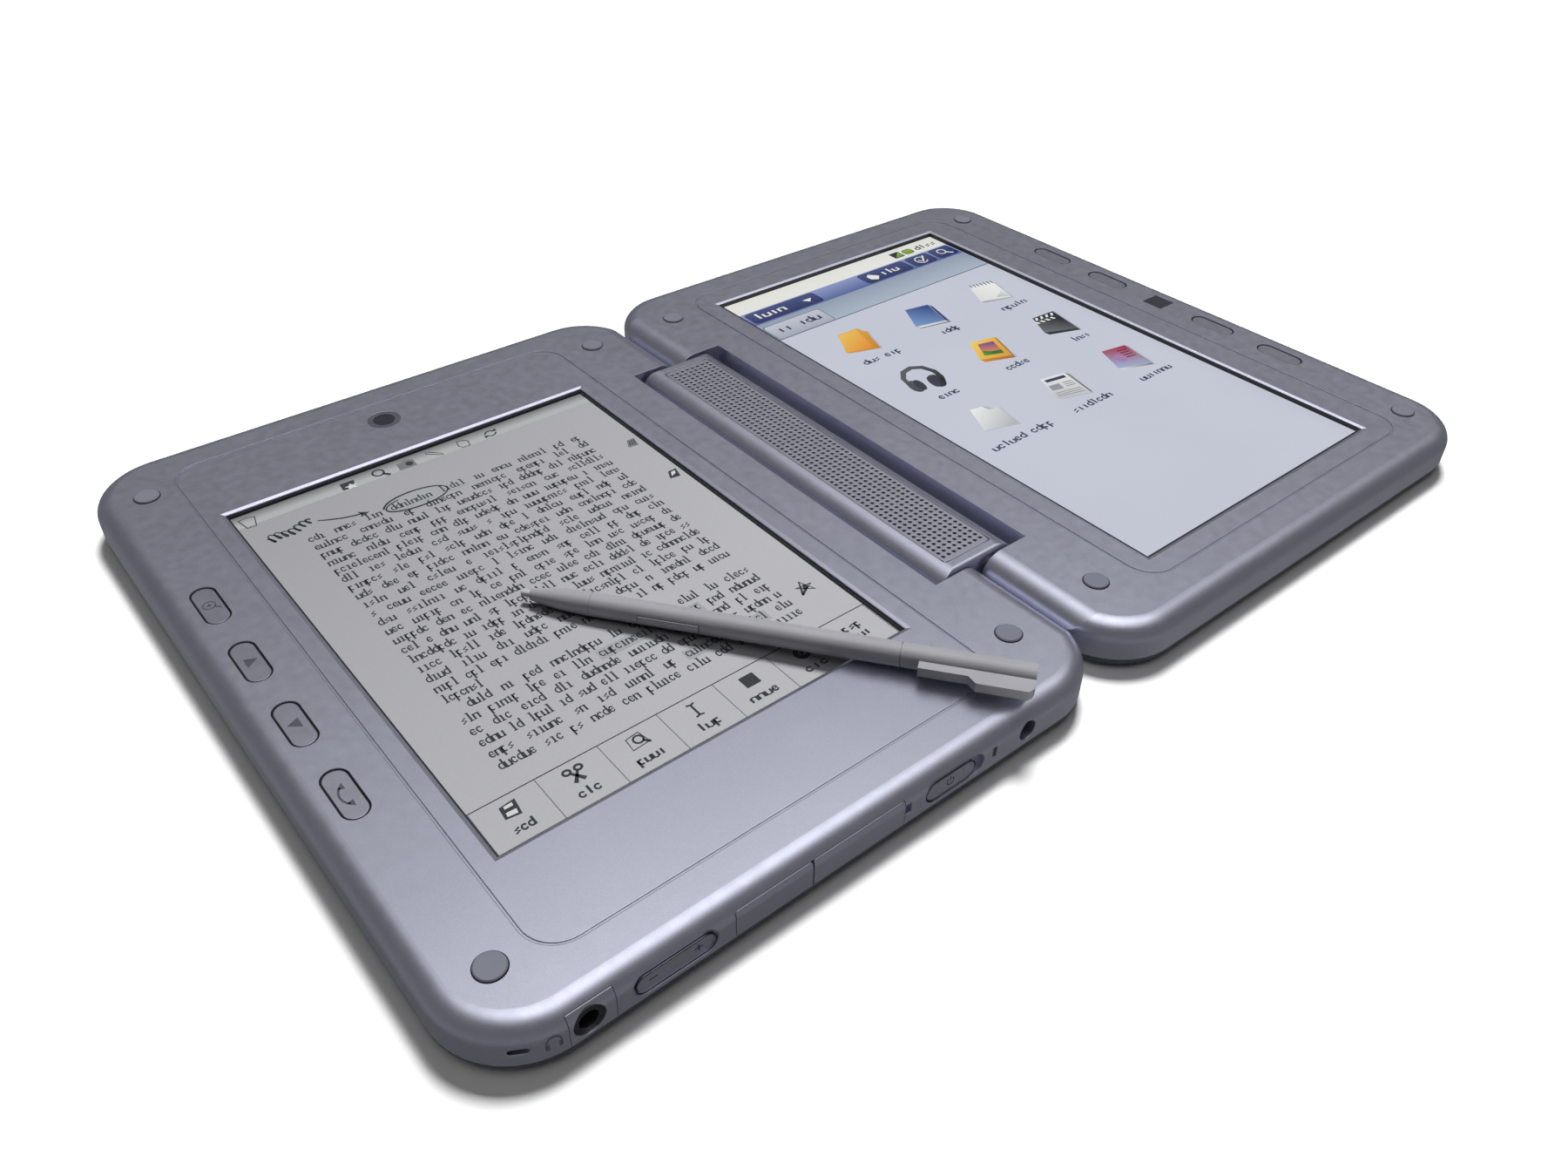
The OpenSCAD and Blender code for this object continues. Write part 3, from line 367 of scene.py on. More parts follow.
class Marks:
    """Flat marks standing a hair above a face, each one a closed plate. Points are measured along
    u and v from the origin, and lift is the height over the face. Bend moves a point along the
    face, and drop says how far the face falls away there."""

    def __init__(self, name, body, slot, finish, origin=(0, 0, 0), u=(1, 0, 0), v=(0, 1, 0),
                 bend=None, drop=None):
        self.name, self.body, self.slot = name, body, slot
        self.finishes = [finish]
        self.origin, self.u, self.v = Vector(origin), Vector(u), Vector(v)
        self.n = self.u.cross(self.v)
        self.bend = bend or (lambda x, y: (x, y))
        self.drop = drop or (lambda x, y: 0.0)
        self.bm = bmesh.new()
        self.lift, self.thick, self.index = 0.01, 0.02, 0

    def use(self, finish=None, lift=None, thick=None):
        """Changes the finish, the height or the thickness of the marks that follow."""
        if finish is not None:
            if finish not in self.finishes:
                self.finishes.append(finish)
            self.index = self.finishes.index(finish)
        self.lift = self.lift if lift is None else lift
        self.thick = self.thick if thick is None else thick
        return self

    def vert(self, p, height):
        x, y = self.bend(*p)
        height -= self.drop(x, y)
        return self.bm.verts.new((self.origin + self.u * x + self.v * y + self.n * height) * MM)

    def face(self, corners):
        self.bm.faces.new(corners).material_index = self.index

    def plate(self, points):
        """A closed plate with this outline."""
        area = sum(a[0] * b[1] - b[0] * a[1] for a, b in zip(points, points[1:] + points[:1]))
        points = points if area > 0 else points[::-1]
        low = [self.vert(p, self.lift) for p in points]
        top = [self.vert(p, self.lift + self.thick) for p in points]
        self.face(top)
        self.face(low[::-1])
        for i in range(len(points)):
            j = (i + 1) % len(points)
            self.face([low[i], low[j], top[j], top[i]])

    def box(self, x0, y0, x1, y1):
        self.plate([(x0, y0), (x1, y0), (x1, y1), (x0, y1)])

    def round_box(self, x0, y0, x1, y1, r, steps=5):
        turns = ((x1 - r, y0 + r, -90), (x1 - r, y1 - r, 0), (x0 + r, y1 - r, 90), (x0 + r, y0 + r, 180))
        self.plate([on_oval(x, y, r, r, a + 90 * k / steps) for x, y, a in turns for k in range(steps + 1)])

    def oval(self, x, y, rx, ry, steps=20, turn=0.0):
        c, s = math.cos(math.radians(turn)), math.sin(math.radians(turn))
        ring = [on_oval(0, 0, rx, ry, 360 * k / steps) for k in range(steps)]
        self.plate([(x + a * c - b * s, y + a * s + b * c) for a, b in ring])

    def line(self, points, width, closed=False):
        """A stroke along points; width is one number or one for each point."""
        n = len(points)
        widths = width if isinstance(width, list) else [width] * n
        rows = []
        for i, (p, w) in enumerate(zip(points, widths)):
            a = points[(i - 1) % n] if closed or i > 0 else p
            b = points[(i + 1) % n] if closed or i < n - 1 else p
            d = Vector((b[0] - a[0], b[1] - a[1])).normalized()
            side = (-d.y * w / 2, d.x * w / 2)
            pair = ((p[0] - side[0], p[1] - side[1]), (p[0] + side[0], p[1] + side[1]))
            rows.append([self.vert(q, h) for h in (self.lift, self.lift + self.thick) for q in pair])
        for i in range(n if closed else n - 1):
            a, b = rows[i], rows[(i + 1) % n]
            self.face([a[2], b[2], b[3], a[3]])
            self.face([a[0], a[1], b[1], b[0]])
            self.face([a[0], b[0], b[2], a[2]])
            self.face([a[1], a[3], b[3], b[1]])
        if not closed:
            self.face([rows[0][0], rows[0][2], rows[0][3], rows[0][1]])
            self.face([rows[-1][0], rows[-1][1], rows[-1][3], rows[-1][2]])

    def arc(self, x, y, rx, ry, a0, a1, width, steps=10):
        closed = abs(a1 - a0) >= 360
        n = steps if closed else steps + 1
        self.line([on_oval(x, y, rx, ry, a0 + (a1 - a0) * k / steps) for k in range(n)], width, closed)

    def pill(self, half_w, half_l, width):
        """A line round a pill that is long along v."""
        steps = 14
        turns = [180 * k / steps for k in range(steps + 1)]
        self.line([on_oval(0, s * (half_l - half_w), half_w, s * half_w, a)
                   for s, way in ((1, turns), (-1, turns[::-1])) for a in way], width, closed=True)

    def word(self, x, y, count, advance, height, stroke, rng, serif=True):
        """A word of meaningless marks in the rhythm of print: no mark stands for a letter."""
        for i in range(count):
            c, w = x + (i + 0.5) * advance, advance * 0.37
            kind = rng.choice("sshhkkttoooollppz")
            if kind in "st":
                top = height * (1.0 if kind == "s" else 1.5)
                self.box(c - stroke / 2, y, c + stroke / 2, y + top)
                if serif:
                    self.box(c - w * 0.9, y - stroke * 0.1, c + w * 0.9, y + stroke * 0.35)
                    self.box(c - w * 0.9, y + top - stroke * 0.4, c, y + top)
            elif kind in "hk":
                flip = 1 if kind == "h" else -1
                sides = (c - w, c + w)
                for at in sides:
                    self.box(at - stroke / 2, y, at + stroke / 2, y + height * 0.92)
                mid = y + height * (0.78 if flip > 0 else 0.14)
                self.line([(c - w, mid), (c, mid + flip * stroke * 0.5), (c + w, mid)], stroke * 0.6)
                if serif:
                    for at in sides:
                        self.box(at - w * 0.5, y - stroke * 0.1, at + w * 0.5, y + stroke * 0.3)
            elif kind == "o":
                self.arc(c, y + height / 2, w, height * 0.43, 30, 330, stroke * 0.8, 8)
                if rng.random() < 0.5:
                    self.box(c - w, y + height * 0.45, c + w, y + height * 0.45 + stroke * 0.45)
            elif kind in "lp":
                low, top = (0, 1.5) if kind == "l" else (-0.5, 1.0)
                at = c + w if kind == "l" else c - w
                self.box(at - stroke / 2, y + low * height, at + stroke / 2, y + top * height)
                self.arc(c, y + height / 2, w, height * 0.42, 60, 300, stroke * 0.8, 7)
            else:
                self.line([(c + w, y + height * 0.9), (c - w * 0.8, y + height * 0.62),
                           (c + w * 0.8, y + height * 0.34), (c - w, y + height * 0.08)], stroke * 0.75)

    def label(self, x0, x1, y, height, rng, gap=None):
        """A short label of such marks between two places, with a space after the gap-th mark."""
        count = max(2, round((x1 - x0) / (height * 0.86)))
        step = (x1 - x0) / count
        for first, last in ((0, gap or count), ((gap or count) + 1, count)):
            if last > first:
                self.word(x0 + first * step, y, last - first, step, height * 0.74, height * 0.25, rng,
                          serif=False)

    def done(self):
        self.bm.normal_update()
        return add_object(self.name, self.bm, self.body, self.finishes)


# ---------- the e-paper page ----------

BAND_LIFT, HIGHLIGHT_LIFT, INK_LIFT, PALE_LIFT = 0.01, 0.02, 0.035, 0.05
gasket_lo, gasket_hi = box_mm("eink_gasket")
page_x0, page_x1 = gasket_lo.x + 0.4, gasket_hi.x - 0.4
page_y0, page_y1 = gasket_lo.y + 0.4, gasket_hi.y - 0.4
INK = ink("page_ink", srgb(38, 40, 44), srgb(58, 60, 64))
MID = ink("page_mid", srgb(96, 98, 102), srgb(116, 118, 122))
HIGHLIGHT = ink("page_highlight", srgb(142, 144, 146), srgb(156, 158, 160))
PALE = ink("page_pale", srgb(186, 188, 188), srgb(198, 200, 200))

# The block of text: the number of marks in each word of each line, in hexadecimal.
LINES = (
    "3438524622 66277632 4534373536 54438638 a533523714 3353413944 63343315432 3325527383 "
    "4351d455 1455153834 37251434233 352223433352 6328443472 3133244345242 8242154729 "
    "4537382522 4434614164 433644422424 7 4239242425 35323a836 2343773623 4242336234351 "
    "462352773 63243643415"
).split()
MARKED = {(0, 3), (0, 4), (20, 5), (20, 6), (23, 6), (23, 7)}  # line and word of each highlight
INDENTED = 19
text_left, text_right = -112.2, -41.2
first_line, line_pitch = 40.5, 3.59
toolbar_y, lean_end = page_y1 - 5.3, 53
rng = random.Random(7)


def lean(x, y):
    """The text's left edge leans in towards the head, as on a sheet that isn't quite straight."""
    if y >= lean_end:
        return x, y
    x += 0.009 * (y + 45) * (-41 - x) / 71
    return min(max(x, page_x0), page_x1), y


page = Marks("page_print", "reader_half", "page_screen", toolbar_sheet(page_y1),
             (0, 0, box_mm("eink_screen")[1].z), bend=lean)
page.use(lift=BAND_LIFT, thick=0.01).box(page_x0, toolbar_y, page_x1, page_y1)


def text_line(row, counts):
    """One line of the page, its words spread out to fill the line."""
    start = text_left + (3.2 if row == INDENTED else 0)
    base = first_line - row * line_pitch
    least_space = 1.1
    advance, space, spaces = 1.2, 0.0, len(counts) - 1
    if spaces:
        advance = 1.27
        space = (text_right - start - advance * sum(counts)) / spaces
        if space < least_space:
            advance = (text_right - start - least_space * spaces) / sum(counts)
            space = least_space
    at = start
    for i, count in enumerate(counts):
        if (row, i) in MARKED:
            page.use(HIGHLIGHT, lift=HIGHLIGHT_LIFT, thick=0.01)
            page.box(at - 0.3, base - 0.75, at + count * advance + 0.3, base + 2.3)
        page.use(INK, lift=INK_LIFT, thick=0.012).word(at, base, count, advance, 1.72, 0.36, rng)
        at += count * advance + space


def handwriting():
    """An unreadable looped scribble, an arrow, a loop round a word, and a star."""
    scrawl = []
    for k in range(111):
        t = k / 110
        swing = 1.5 - 0.5 * t
        scrawl.append((-119.2 + 10.6 * t + 0.75 * math.sin(t * 44),
                       46.5 + 1.6 * t + swing * math.cos(t * 44 + 0.8) + 0.5 * math.sin(t * 9)))
    page.line(scrawl, [0.42 + 0.14 * math.sin(k * 0.37) for k in range(111)])
    page.line([(-107.6, 47.4), (-105.4, 46.2), (-102.6, 44.9), (-99.8, 44.1), (-98.2, 43.8)],
              [0.25, 0.42, 0.46, 0.46, 0.4])
    page.plate([(-99.0, 45.0), (-96.8, 43.5), (-99.1, 42.7), (-98.6, 43.8)])
    loop = []
    for k in range(49):
        a = math.radians(118 + k * 8.6)
        loop.append((-85.8 + 7.5 * (1 + 0.0016 * k) * math.cos(a), 41.6 + (2.6 + 0.028 * k) * math.sin(a)))
    page.line(loop, [0.3 + 0.2 * abs(math.sin(k * 0.11)) for k in range(49)])
    page.line([(-37.6, -41.2), (-35.5, -37.2), (-34.1, -41.0), (-37.4, -38.5), (-33.6, -39.0),
               (-36.4, -40.3), (-37.6, -41.2)], [0.55, 0.6, 0.5, 0.6, 0.5, 0.6, 0.4])
    page.plate([(-36.4, -39.7), (-35.3, -38.2), (-34.7, -39.5), (-35.6, -40.2)])


def head_tools():
    """Bin, page with a star, magnifier, camera, pencil, eraser and turning arrows, left to right."""
    page.line([(-120.9, 58.0), (-120.2, 54.2), (-118.2, 54.0), (-117.3, 57.7)], 0.25)
    page.line([(-121.0, 58.0), (-119.0, 58.3), (-117.3, 57.7)], 0.22)
    page.plate([(-97.2, 55.2), (-96.9, 58.1), (-93.4, 58.0), (-94.3, 55.0)])
    page.use(PALE, lift=PALE_LIFT)
    page.plate([(-94.9, 57.0), (-94.4, 56.2), (-93.4, 56.2), (-94.1, 55.5), (-93.9, 54.5),
                (-94.9, 55.0), (-95.9, 54.5), (-95.7, 55.5), (-96.4, 56.2), (-95.4, 56.2)])
    page.use(INK, lift=INK_LIFT)
    page.arc(-87.6, 57.2, 1.35, 1.35, 0, 360, 0.5, 14)
    page.line([(-86.7, 56.2), (-85.5, 54.8)], 0.75)
    page.use(MID).plate([(-83.0, 54.9), (-82.6, 57.9), (-81.3, 58.0), (-80.8, 58.5), (-79.4, 58.4),
                         (-78.4, 57.6), (-78.6, 54.8)])
    page.use(INK, lift=PALE_LIFT).oval(-79.9, 56.4, 0.95, 0.95)
    page.use(INK, lift=INK_LIFT)
    page.line([(-74.6, 58.6), (-74.9, 57.8), (-72.2, 55.4), (-71.4, 55.1), (-71.7, 55.9), (-74.2, 58.4)],
              0.22)
    page.line([(-66.9, 56.0), (-66.4, 58.3), (-64.9, 58.1), (-63.9, 57.1), (-64.4, 54.9), (-66.2, 55.0)],
              0.24, closed=True)
    page.arc(-57.8, 56.7, 1.35, 1.2, 30, 170, 0.42, 8)
    page.arc(-57.8, 56.7, 1.35, 1.2, 210, 350, 0.42, 8)
    page.plate([(-55.9, 58.2), (-55.9, 56.9), (-57.1, 57.3)])
    page.plate([(-59.7, 55.2), (-59.7, 56.5), (-58.5, 56.1)])


def side_pictures():
    """Two small tabs at the side of the page."""
    page.use(MID).plate([(-34.1, 30.0), (-32.8, 32.8), (-30.6, 32.9), (-31.4, 29.6)])
    page.use(INK, lift=PALE_LIFT)
    for k in range(3):
        page.line([(-33.2 + 0.75 * k, 30.4), (-32.4 + 0.65 * k, 32.3)], 0.28)
    page.use(INK, lift=INK_LIFT).plate([(-34.0, 12.4), (-32.7, 15.1), (-30.4, 15.2), (-31.3, 11.9)])
    page.use(PALE, lift=PALE_LIFT).plate([(-33.1, 12.9), (-32.3, 14.5), (-31.1, 14.6), (-31.6, 13.5)])


def commands():
    """The row of commands at the foot of the page: a picture and a label in each cell."""
    menu_y, label_y, label_h = -51.2, -60.3, 1.9
    cells = [page_x0 + 0.35 + 13.15 * k for k in range(8)]
    disk, scissors, view, caret, black, ring, wide = [(a + b) / 2 for a, b in zip(cells, cells[1:])]
    page.use(INK, lift=INK_LIFT).box(page_x0, menu_y - 0.1, page_x1, menu_y + 0.1)
    page.use(MID)
    for x in cells:
        page.box(x - 0.08, page_y0, x + 0.08, menu_y - 0.1)
    page.use(INK)
    page.plate([(disk - 1.9, -56.3), (disk - 1.6, -53.3), (disk + 1.7, -52.9), (disk + 1.2, -56.7)])
    page.use(PALE, lift=PALE_LIFT)
    page.plate([(disk - 1.3, -56.0), (disk - 1.15, -55.0), (disk + 0.85, -55.1), (disk + 0.7, -56.2)])
    page.plate([(disk - 0.9, -54.2), (disk - 0.85, -53.5), (disk + 0.9, -53.4), (disk + 0.8, -54.2)])
    page.use(INK, lift=INK_LIFT)
    for s in (-1, 1):
        page.arc(scissors + s * 1.2, -53.5, 0.75, 0.65, 0, 360, 0.5, 10)
        page.line([(scissors + s * 0.7, -54.1), (scissors - s * 1.0, -56.6)], [0.5, 0.85])
    page.line([(view - 1.9, -56.4), (view - 1.6, -53.3), (view + 1.3, -52.9), (view + 1.9, -56.1)],
              0.24, closed=True)
    page.arc(view + 0.4, -54.5, 1.0, 1.0, 0, 360, 0.42, 12)
    page.line([(view + 1.0, -55.2), (view + 2.1, -56.3)], 0.55)
    page.line([(caret, -53.3), (caret, -56.3)], 0.45)
    for y, s in ((-53.0, 1), (-56.6, -1)):
        page.line([(caret - 0.9, y), (caret, y - s * 0.25), (caret + 0.9, y)], 0.4)
    page.round_box(black - 1.7, -56.4, black + 1.7, -53.2, 0.2)
    page.arc(ring, -54.9, 1.35, 1.35, 0, 360, 1.1, 16)
    page.oval(ring, -54.9, 0.45, 0.45, 10)
    for x, half in ((disk, 2.1), (scissors, 2.35), (view, 3.0), (caret, 2.7), (black, 3.4), (ring, 2.8)):
        page.label(x - half, x + half, label_y, label_h, rng)
    for y in (label_y + 4.4, label_y + 1.4):
        page.label(wide - 2.4, wide + 2.4, y, label_h, rng)


for row, words in enumerate(LINES):
    text_line(row, [int(c, 16) for c in words])
handwriting()
head_tools()
side_pictures()
commands()
page.done()


# ---------- the colour screen ----------


def layer(k):
    """The height of the k-th layer of the picture over the screen."""
    return 0.01 + 0.025 * k


lcd_lo, lcd_hi = box_mm("lcd_screen")
WHITE = lit("lit_white", srgb(236, 236, 230), srgb(244, 243, 238))
NAVY = lit("lit_navy", srgb(66, 80, 128), srgb(40, 50, 98), (75, 71, 9), (75, 64.5, 9))
DARK = lit("lit_dark", srgb(40, 42, 56), srgb(62, 64, 80))
RULE = lit("lit_rule", srgb(96, 102, 120), srgb(110, 116, 134))
SHADE = lit("lit_shade", srgb(182, 186, 202), srgb(190, 194, 209))
TEXT = lit("lit_text", srgb(44, 48, 74), srgb(60, 64, 92))
BORDER = lit("lit_border", srgb(38, 48, 92), srgb(52, 64, 110))
BLACK = lit("icon_black", srgb(96, 98, 104), srgb(30, 32, 36), (45, 17, 9), (54, 6, 9))
picture = Marks("screen_picture", "tablet_half", "colour_screen", WHITE, (0, 0, lcd_hi.z))
picture.thick = 0.02


def bars():
    """The status bar, the header with its buttons, and the tab strip."""
    x0, x1, y1 = lcd_lo.x + 0.2, lcd_hi.x - 0.2, lcd_hi.y - 0.2
    status_y, header_y, strip_y = 71.7, 63.8, 52.9
    header = lit("lit_header", srgb(146, 158, 204), srgb(86, 104, 158), (75, status_y, 9), (75, header_y, 9))
    strip = lit("lit_strip", srgb(150, 163, 182), srgb(176, 188, 204), (75, header_y, 9), (75, strip_y, 9))
    tab = lit("lit_tab", srgb(200, 204, 216), srgb(172, 177, 192), (44, 61, 9), (44, 53, 9))
    picture.use(WHITE, lift=layer(0)).box(x0, status_y, x1, y1)
    picture.use(header).box(x0, header_y, x1, status_y)
    picture.use(strip).box(x0, strip_y, x1, header_y)
    picture.use(RULE, lift=layer(1)).box(x0, strip_y - 0.4, x1, strip_y)
    picture.round_box(33.2, strip_y, 54.8, 61.6, 1.2)
    picture.use(tab, lift=layer(2)).round_box(33.5, strip_y, 54.5, 61.3, 1.1)
    picture.use(TEXT, lift=layer(3)).label(35.8, 52.0, 56.0, 3.0, rng, gap=2)
    for a, b in ((34.1, 60.2), (79.0, 98.2), (99.7, 108.9), (110.3, 118.6)):
        picture.use(BORDER, lift=layer(1)).round_box(a - 0.25, 64.4, b + 0.25, 71.2, 1.3)
        picture.use(NAVY, lift=layer(2)).round_box(a, 64.65, b, 70.95, 1.1)
    picture.use(WHITE, lift=layer(3)).label(35.8, 47.4, 66.6, 3.0, rng)
    picture.plate([(54.4, 68.3), (57.8, 68.3), (56.1, 66.4)])
    picture.plate([(81.2, 68.6), (82.6, 69.8), (85.2, 67.2), (83.4, 65.3), (81.4, 66.6)])
    picture.label(86.4, 96.4, 66.6, 2.7, rng, gap=3)
    picture.arc(104.2, 67.7, 2.1, 2.1, 25, 330, 0.38, 14)
    picture.line([(103.0, 67.8), (104.2, 66.5), (106.7, 69.8)], 0.6)
    picture.arc(114.0, 68.3, 1.5, 1.5, 0, 360, 0.42, 14)
    picture.line([(115.1, 67.2), (116.9, 65.5)], 0.6)


def status():
    """Signal, battery and clock."""
    green = lit("lit_green", srgb(150, 190, 60), srgb(106, 148, 34), (105, 77, 9), (105, 73, 9))
    picture.use(DARK, lift=layer(1)).round_box(98.4, 73.2, 102.4, 77.0, 0.3)
    picture.use(green, lift=layer(2)).plate([(98.9, 73.6), (102.0, 73.6), (102.0, 76.6)])
    picture.use(DARK, lift=layer(1)).round_box(103.3, 73.4, 107.3, 76.7, 1.2)
    picture.use(green, lift=layer(2)).round_box(103.6, 73.7, 107.0, 76.4, 1.0)
    picture.use(DARK).label(108.4, 117.6, 73.9, 2.4, rng, gap=4)


def sheet(name, points, near, far, level=3, span=None):
    """A tilted sheet of an icon, shaded from its first corner to its third, or along span."""
    a, b = span or (points[0], points[2])
    picture.use(lit(name, near, far, (*a, 9), (*b, 9)), lift=layer(level)).plate(points)


def shadow(points):
    picture.use(SHADE, lift=layer(2)).plate([(x + 0.45, y - 0.45) for x, y in points])


def folder():
    back = [(43.2, 34.7), (47.9, 44.8), (55.3, 44.6), (55.5, 42.3), (56.5, 41.6), (55.0, 38.2), (52.8, 31.6)]
    shadow(back)
    sheet("icon_folder_back", back, srgb(206, 136, 34), srgb(234, 172, 60), span=(back[6], back[1]))
    sheet("icon_folder", [(42.9, 35.3), (47.9, 44.5), (54.6, 44.2), (51.4, 33.0)],
          srgb(246, 206, 98), srgb(232, 142, 34), 4, ((46, 45), (52, 33)))


def book():
    shadow([(69.9, 34.2), (74.8, 44.6), (83.1, 43.0), (80.3, 31.2)])
    sheet("icon_book_back",
          [(69.9, 34.8), (79.8, 32.6), (82.9, 42.6), (83.2, 41.2), (80.3, 30.9), (70.5, 33.2)],
          srgb(58, 74, 120), srgb(40, 52, 92))
    sheet("icon_leaves", [(70.1, 34.6), (79.8, 32.5), (80.1, 31.3), (70.6, 33.5)],
          srgb(240, 240, 238), srgb(198, 200, 204), 4)
    sheet("icon_book", [(69.9, 34.9), (74.8, 44.6), (82.8, 43.1), (79.7, 32.7)],
          srgb(118, 156, 204), srgb(50, 70, 138), 4, ((71, 35), (81, 43)))


def ring_pad():
    pad = [(97.2, 34.5), (101.9, 43.9), (110.4, 42.0), (107.3, 31.0)]
    shadow([(97.2, 34.4)] + pad[1:])
    sheet("icon_pad", pad, srgb(226, 227, 226), srgb(248, 248, 246))
    sheet("icon_pad_edge", [(97.2, 34.5), (97.9, 33.4), (107.5, 30.4), (107.3, 31.4)],
          srgb(150, 152, 156), srgb(190, 192, 194), 4)
    sheet("icon_curl", [(103.4, 34.0), (106.3, 35.3), (108.6, 37.0), (107.4, 31.6), (105.2, 33.0)],
          srgb(186, 188, 190), srgb(240, 240, 240), 4)
    picture.use(DARK, lift=layer(4))
    for k in range(7):
        picture.line([(102.2 + 1.28 * k, 42.9 - 0.27 * k), (102.5 + 1.28 * k, 44.7 - 0.27 * k)], 0.32)


def headphones():
    picture.use(BLACK, lift=layer(3))
    picture.line([(44.4, 11.0), (45.4, 14.6), (47.9, 17.3), (51.2, 17.9), (54.0, 16.2), (55.2, 12.6),
                  (54.6, 9.2), (53.4, 7.0)], [1.3, 1.5, 1.7, 1.8, 1.8, 1.7, 1.5, 1.2])
    picture.oval(45.3, 9.6, 2.0, 3.2, turn=-12)
    picture.oval(52.0, 8.3, 2.3, 3.5, turn=-14)
    picture.use(DARK, lift=layer(4)).oval(46.7, 9.4, 1.3, 2.9, turn=-12)
    picture.oval(50.8, 8.5, 1.2, 3.0, turn=-14)


def framed_sunset():
    shadow([(70.1, 8.2), (75.1, 18.2), (83.3, 16.5), (79.5, 4.3)])
    sheet("icon_frame_side", [(70.1, 9.2), (70.4, 7.4), (79.3, 4.2), (83.4, 15.0), (83.3, 16.5), (79.4, 5.6)],
          srgb(214, 142, 36), srgb(170, 108, 26))
    sheet("icon_frame", [(70.0, 9.2), (75.1, 18.1), (83.3, 16.4), (79.3, 5.7)],
          srgb(250, 214, 96), srgb(222, 156, 44), 4, ((73, 17), (80, 6)))
    sheet("icon_sky", [(72.7, 10.1), (76.1, 15.9), (81.2, 14.7), (78.5, 7.9)],
          srgb(122, 66, 140), srgb(236, 150, 62), 5, ((78.5, 15.6), (75.8, 9.4)))
    sheet("icon_hill", [(72.7, 10.1), (74.4, 12.4), (76.0, 10.8), (79.3, 9.8), (78.5, 7.9)],
          srgb(96, 160, 62), srgb(52, 116, 44), 6)


def clapper_board():
    board = [(97.1, 9.0), (101.3, 17.5), (109.8, 17.0), (107.3, 4.4)]
    shadow([(97.1, 8.8)] + board[1:])
    sheet("icon_board", board, srgb(112, 114, 120), srgb(34, 36, 42), span=((98, 8), (105, 15)))
    sheet("icon_board_edge", [(97.1, 9.0), (97.4, 7.4), (107.2, 3.9), (107.3, 5.0)],
          srgb(30, 32, 36), srgb(52, 54, 60), 4)
    picture.use(WHITE, lift=layer(4))
    for k in range(4):
        for bx, by, tilt in ((100.9, 15.7, 0.9), (100.0, 13.9, -0.5)):
            px, py = bx + 2.05 * k, by - 0.16 * k
            picture.plate([(px, py), (px + 0.95, py - 0.05),
                           (px + 0.95 + tilt, py + 1.2), (px + tilt, py + 1.25)])


def turned_sheet():
    leaf = [(43.3, -17.7), (47.7, -8.2), (51.6, -8.9), (54.8, -11.9), (53.0, -20.8)]
    shadow(leaf)
    sheet("icon_sheet", leaf, srgb(246, 246, 245), srgb(184, 186, 190), span=((47, -9), (53, -20)))
    sheet("icon_corner", [(51.6, -8.9), (51.9, -11.4), (54.8, -11.9)],
          srgb(168, 170, 176), srgb(226, 227, 229), 4)


def newspaper():
    """A folded sheet with a picture and columns of plain bars."""
    paper = [(70.6, -18.7), (74.9, -8.7), (83.2, -10.2), (80.7, -22.0)]
    shadow(paper)
    sheet("icon_paper", paper, srgb(196, 198, 202), srgb(236, 236, 236), span=(paper[0], paper[1]))
    sheet("icon_paper_edge", [(83.2, -10.2), (83.8, -11.6), (81.3, -21.6), (80.7, -22.0)],
          srgb(140, 142, 148), srgb(112, 114, 120), 4)
    picture.use(TEXT, lift=layer(4)).line([(75.2, -10.4), (81.9, -11.6)], 1.3)
    picture.use(lit("icon_photo", srgb(168, 170, 176), srgb(140, 142, 150)))
    picture.plate([(73.9, -12.6), (73.0, -15.0), (76.6, -15.9), (77.4, -13.2)])
    for k in range(3):
        picture.line([(78.4 - 0.2 * k, -13.6 - 0.95 * k), (81.5 - 0.2 * k, -14.2 - 0.95 * k)], 0.4)
        picture.line([(72.6 - 0.4 * k, -16.4 - 0.8 * k), (80.6 - 0.2 * k, -18.2 - 0.95 * k)], 0.36)


def magazine():
    """A cover of a plain disc and bars."""
    shadow([(97.4, -18.4), (101.2, -8.7), (109.9, -10.3), (107.4, -22.4)])
    sheet("icon_cover_leaves",
          [(97.2, -18.0), (97.9, -19.2), (107.2, -22.4), (109.7, -11.6), (109.6, -10.2), (107.0, -21.6)],
          srgb(228, 228, 226), srgb(120, 116, 112))
    sheet("icon_cover", [(97.2, -18.0), (101.2, -8.7), (109.6, -10.2), (107.0, -21.6)],
          srgb(160, 180, 216), srgb(168, 36, 66), 4, ((100, -19), (105, -9)))
    disc = lit("icon_disc", srgb(196, 110, 150), srgb(150, 140, 190))
    picture.use(disc, lift=layer(5)).oval(102.4, -14.6, 1.9, 2.1)
    picture.use(lit("icon_bars", srgb(112, 24, 44), srgb(140, 40, 60)))
    for k in range(4):
        picture.line([(104.8 - 0.15 * k, -11.4 - 1.25 * k), (108.2 - 0.25 * k, -12.0 - 1.25 * k)], 0.55)


def icon_labels():
    """A label under each icon: its middle, half its length, and the mark that a space follows."""
    for x, y, half, gap in (
        (49.6, 26.6, 7.0, 3), (76.6, 26.4, 3.7, None), (103.7, 26.1, 5.2, None),
        (49.5, 0.3, 3.7, None), (76.6, 0.1, 4.5, None), (103.6, -0.1, 3.5, None),
        (49.4, -26.4, 11.2, 6), (76.7, -26.5, 7.7, None), (103.6, -26.7, 6.5, None),
    ):
        picture.use(TEXT, lift=layer(2)).label(x - half, x + half, y, 2.3, rng, gap)


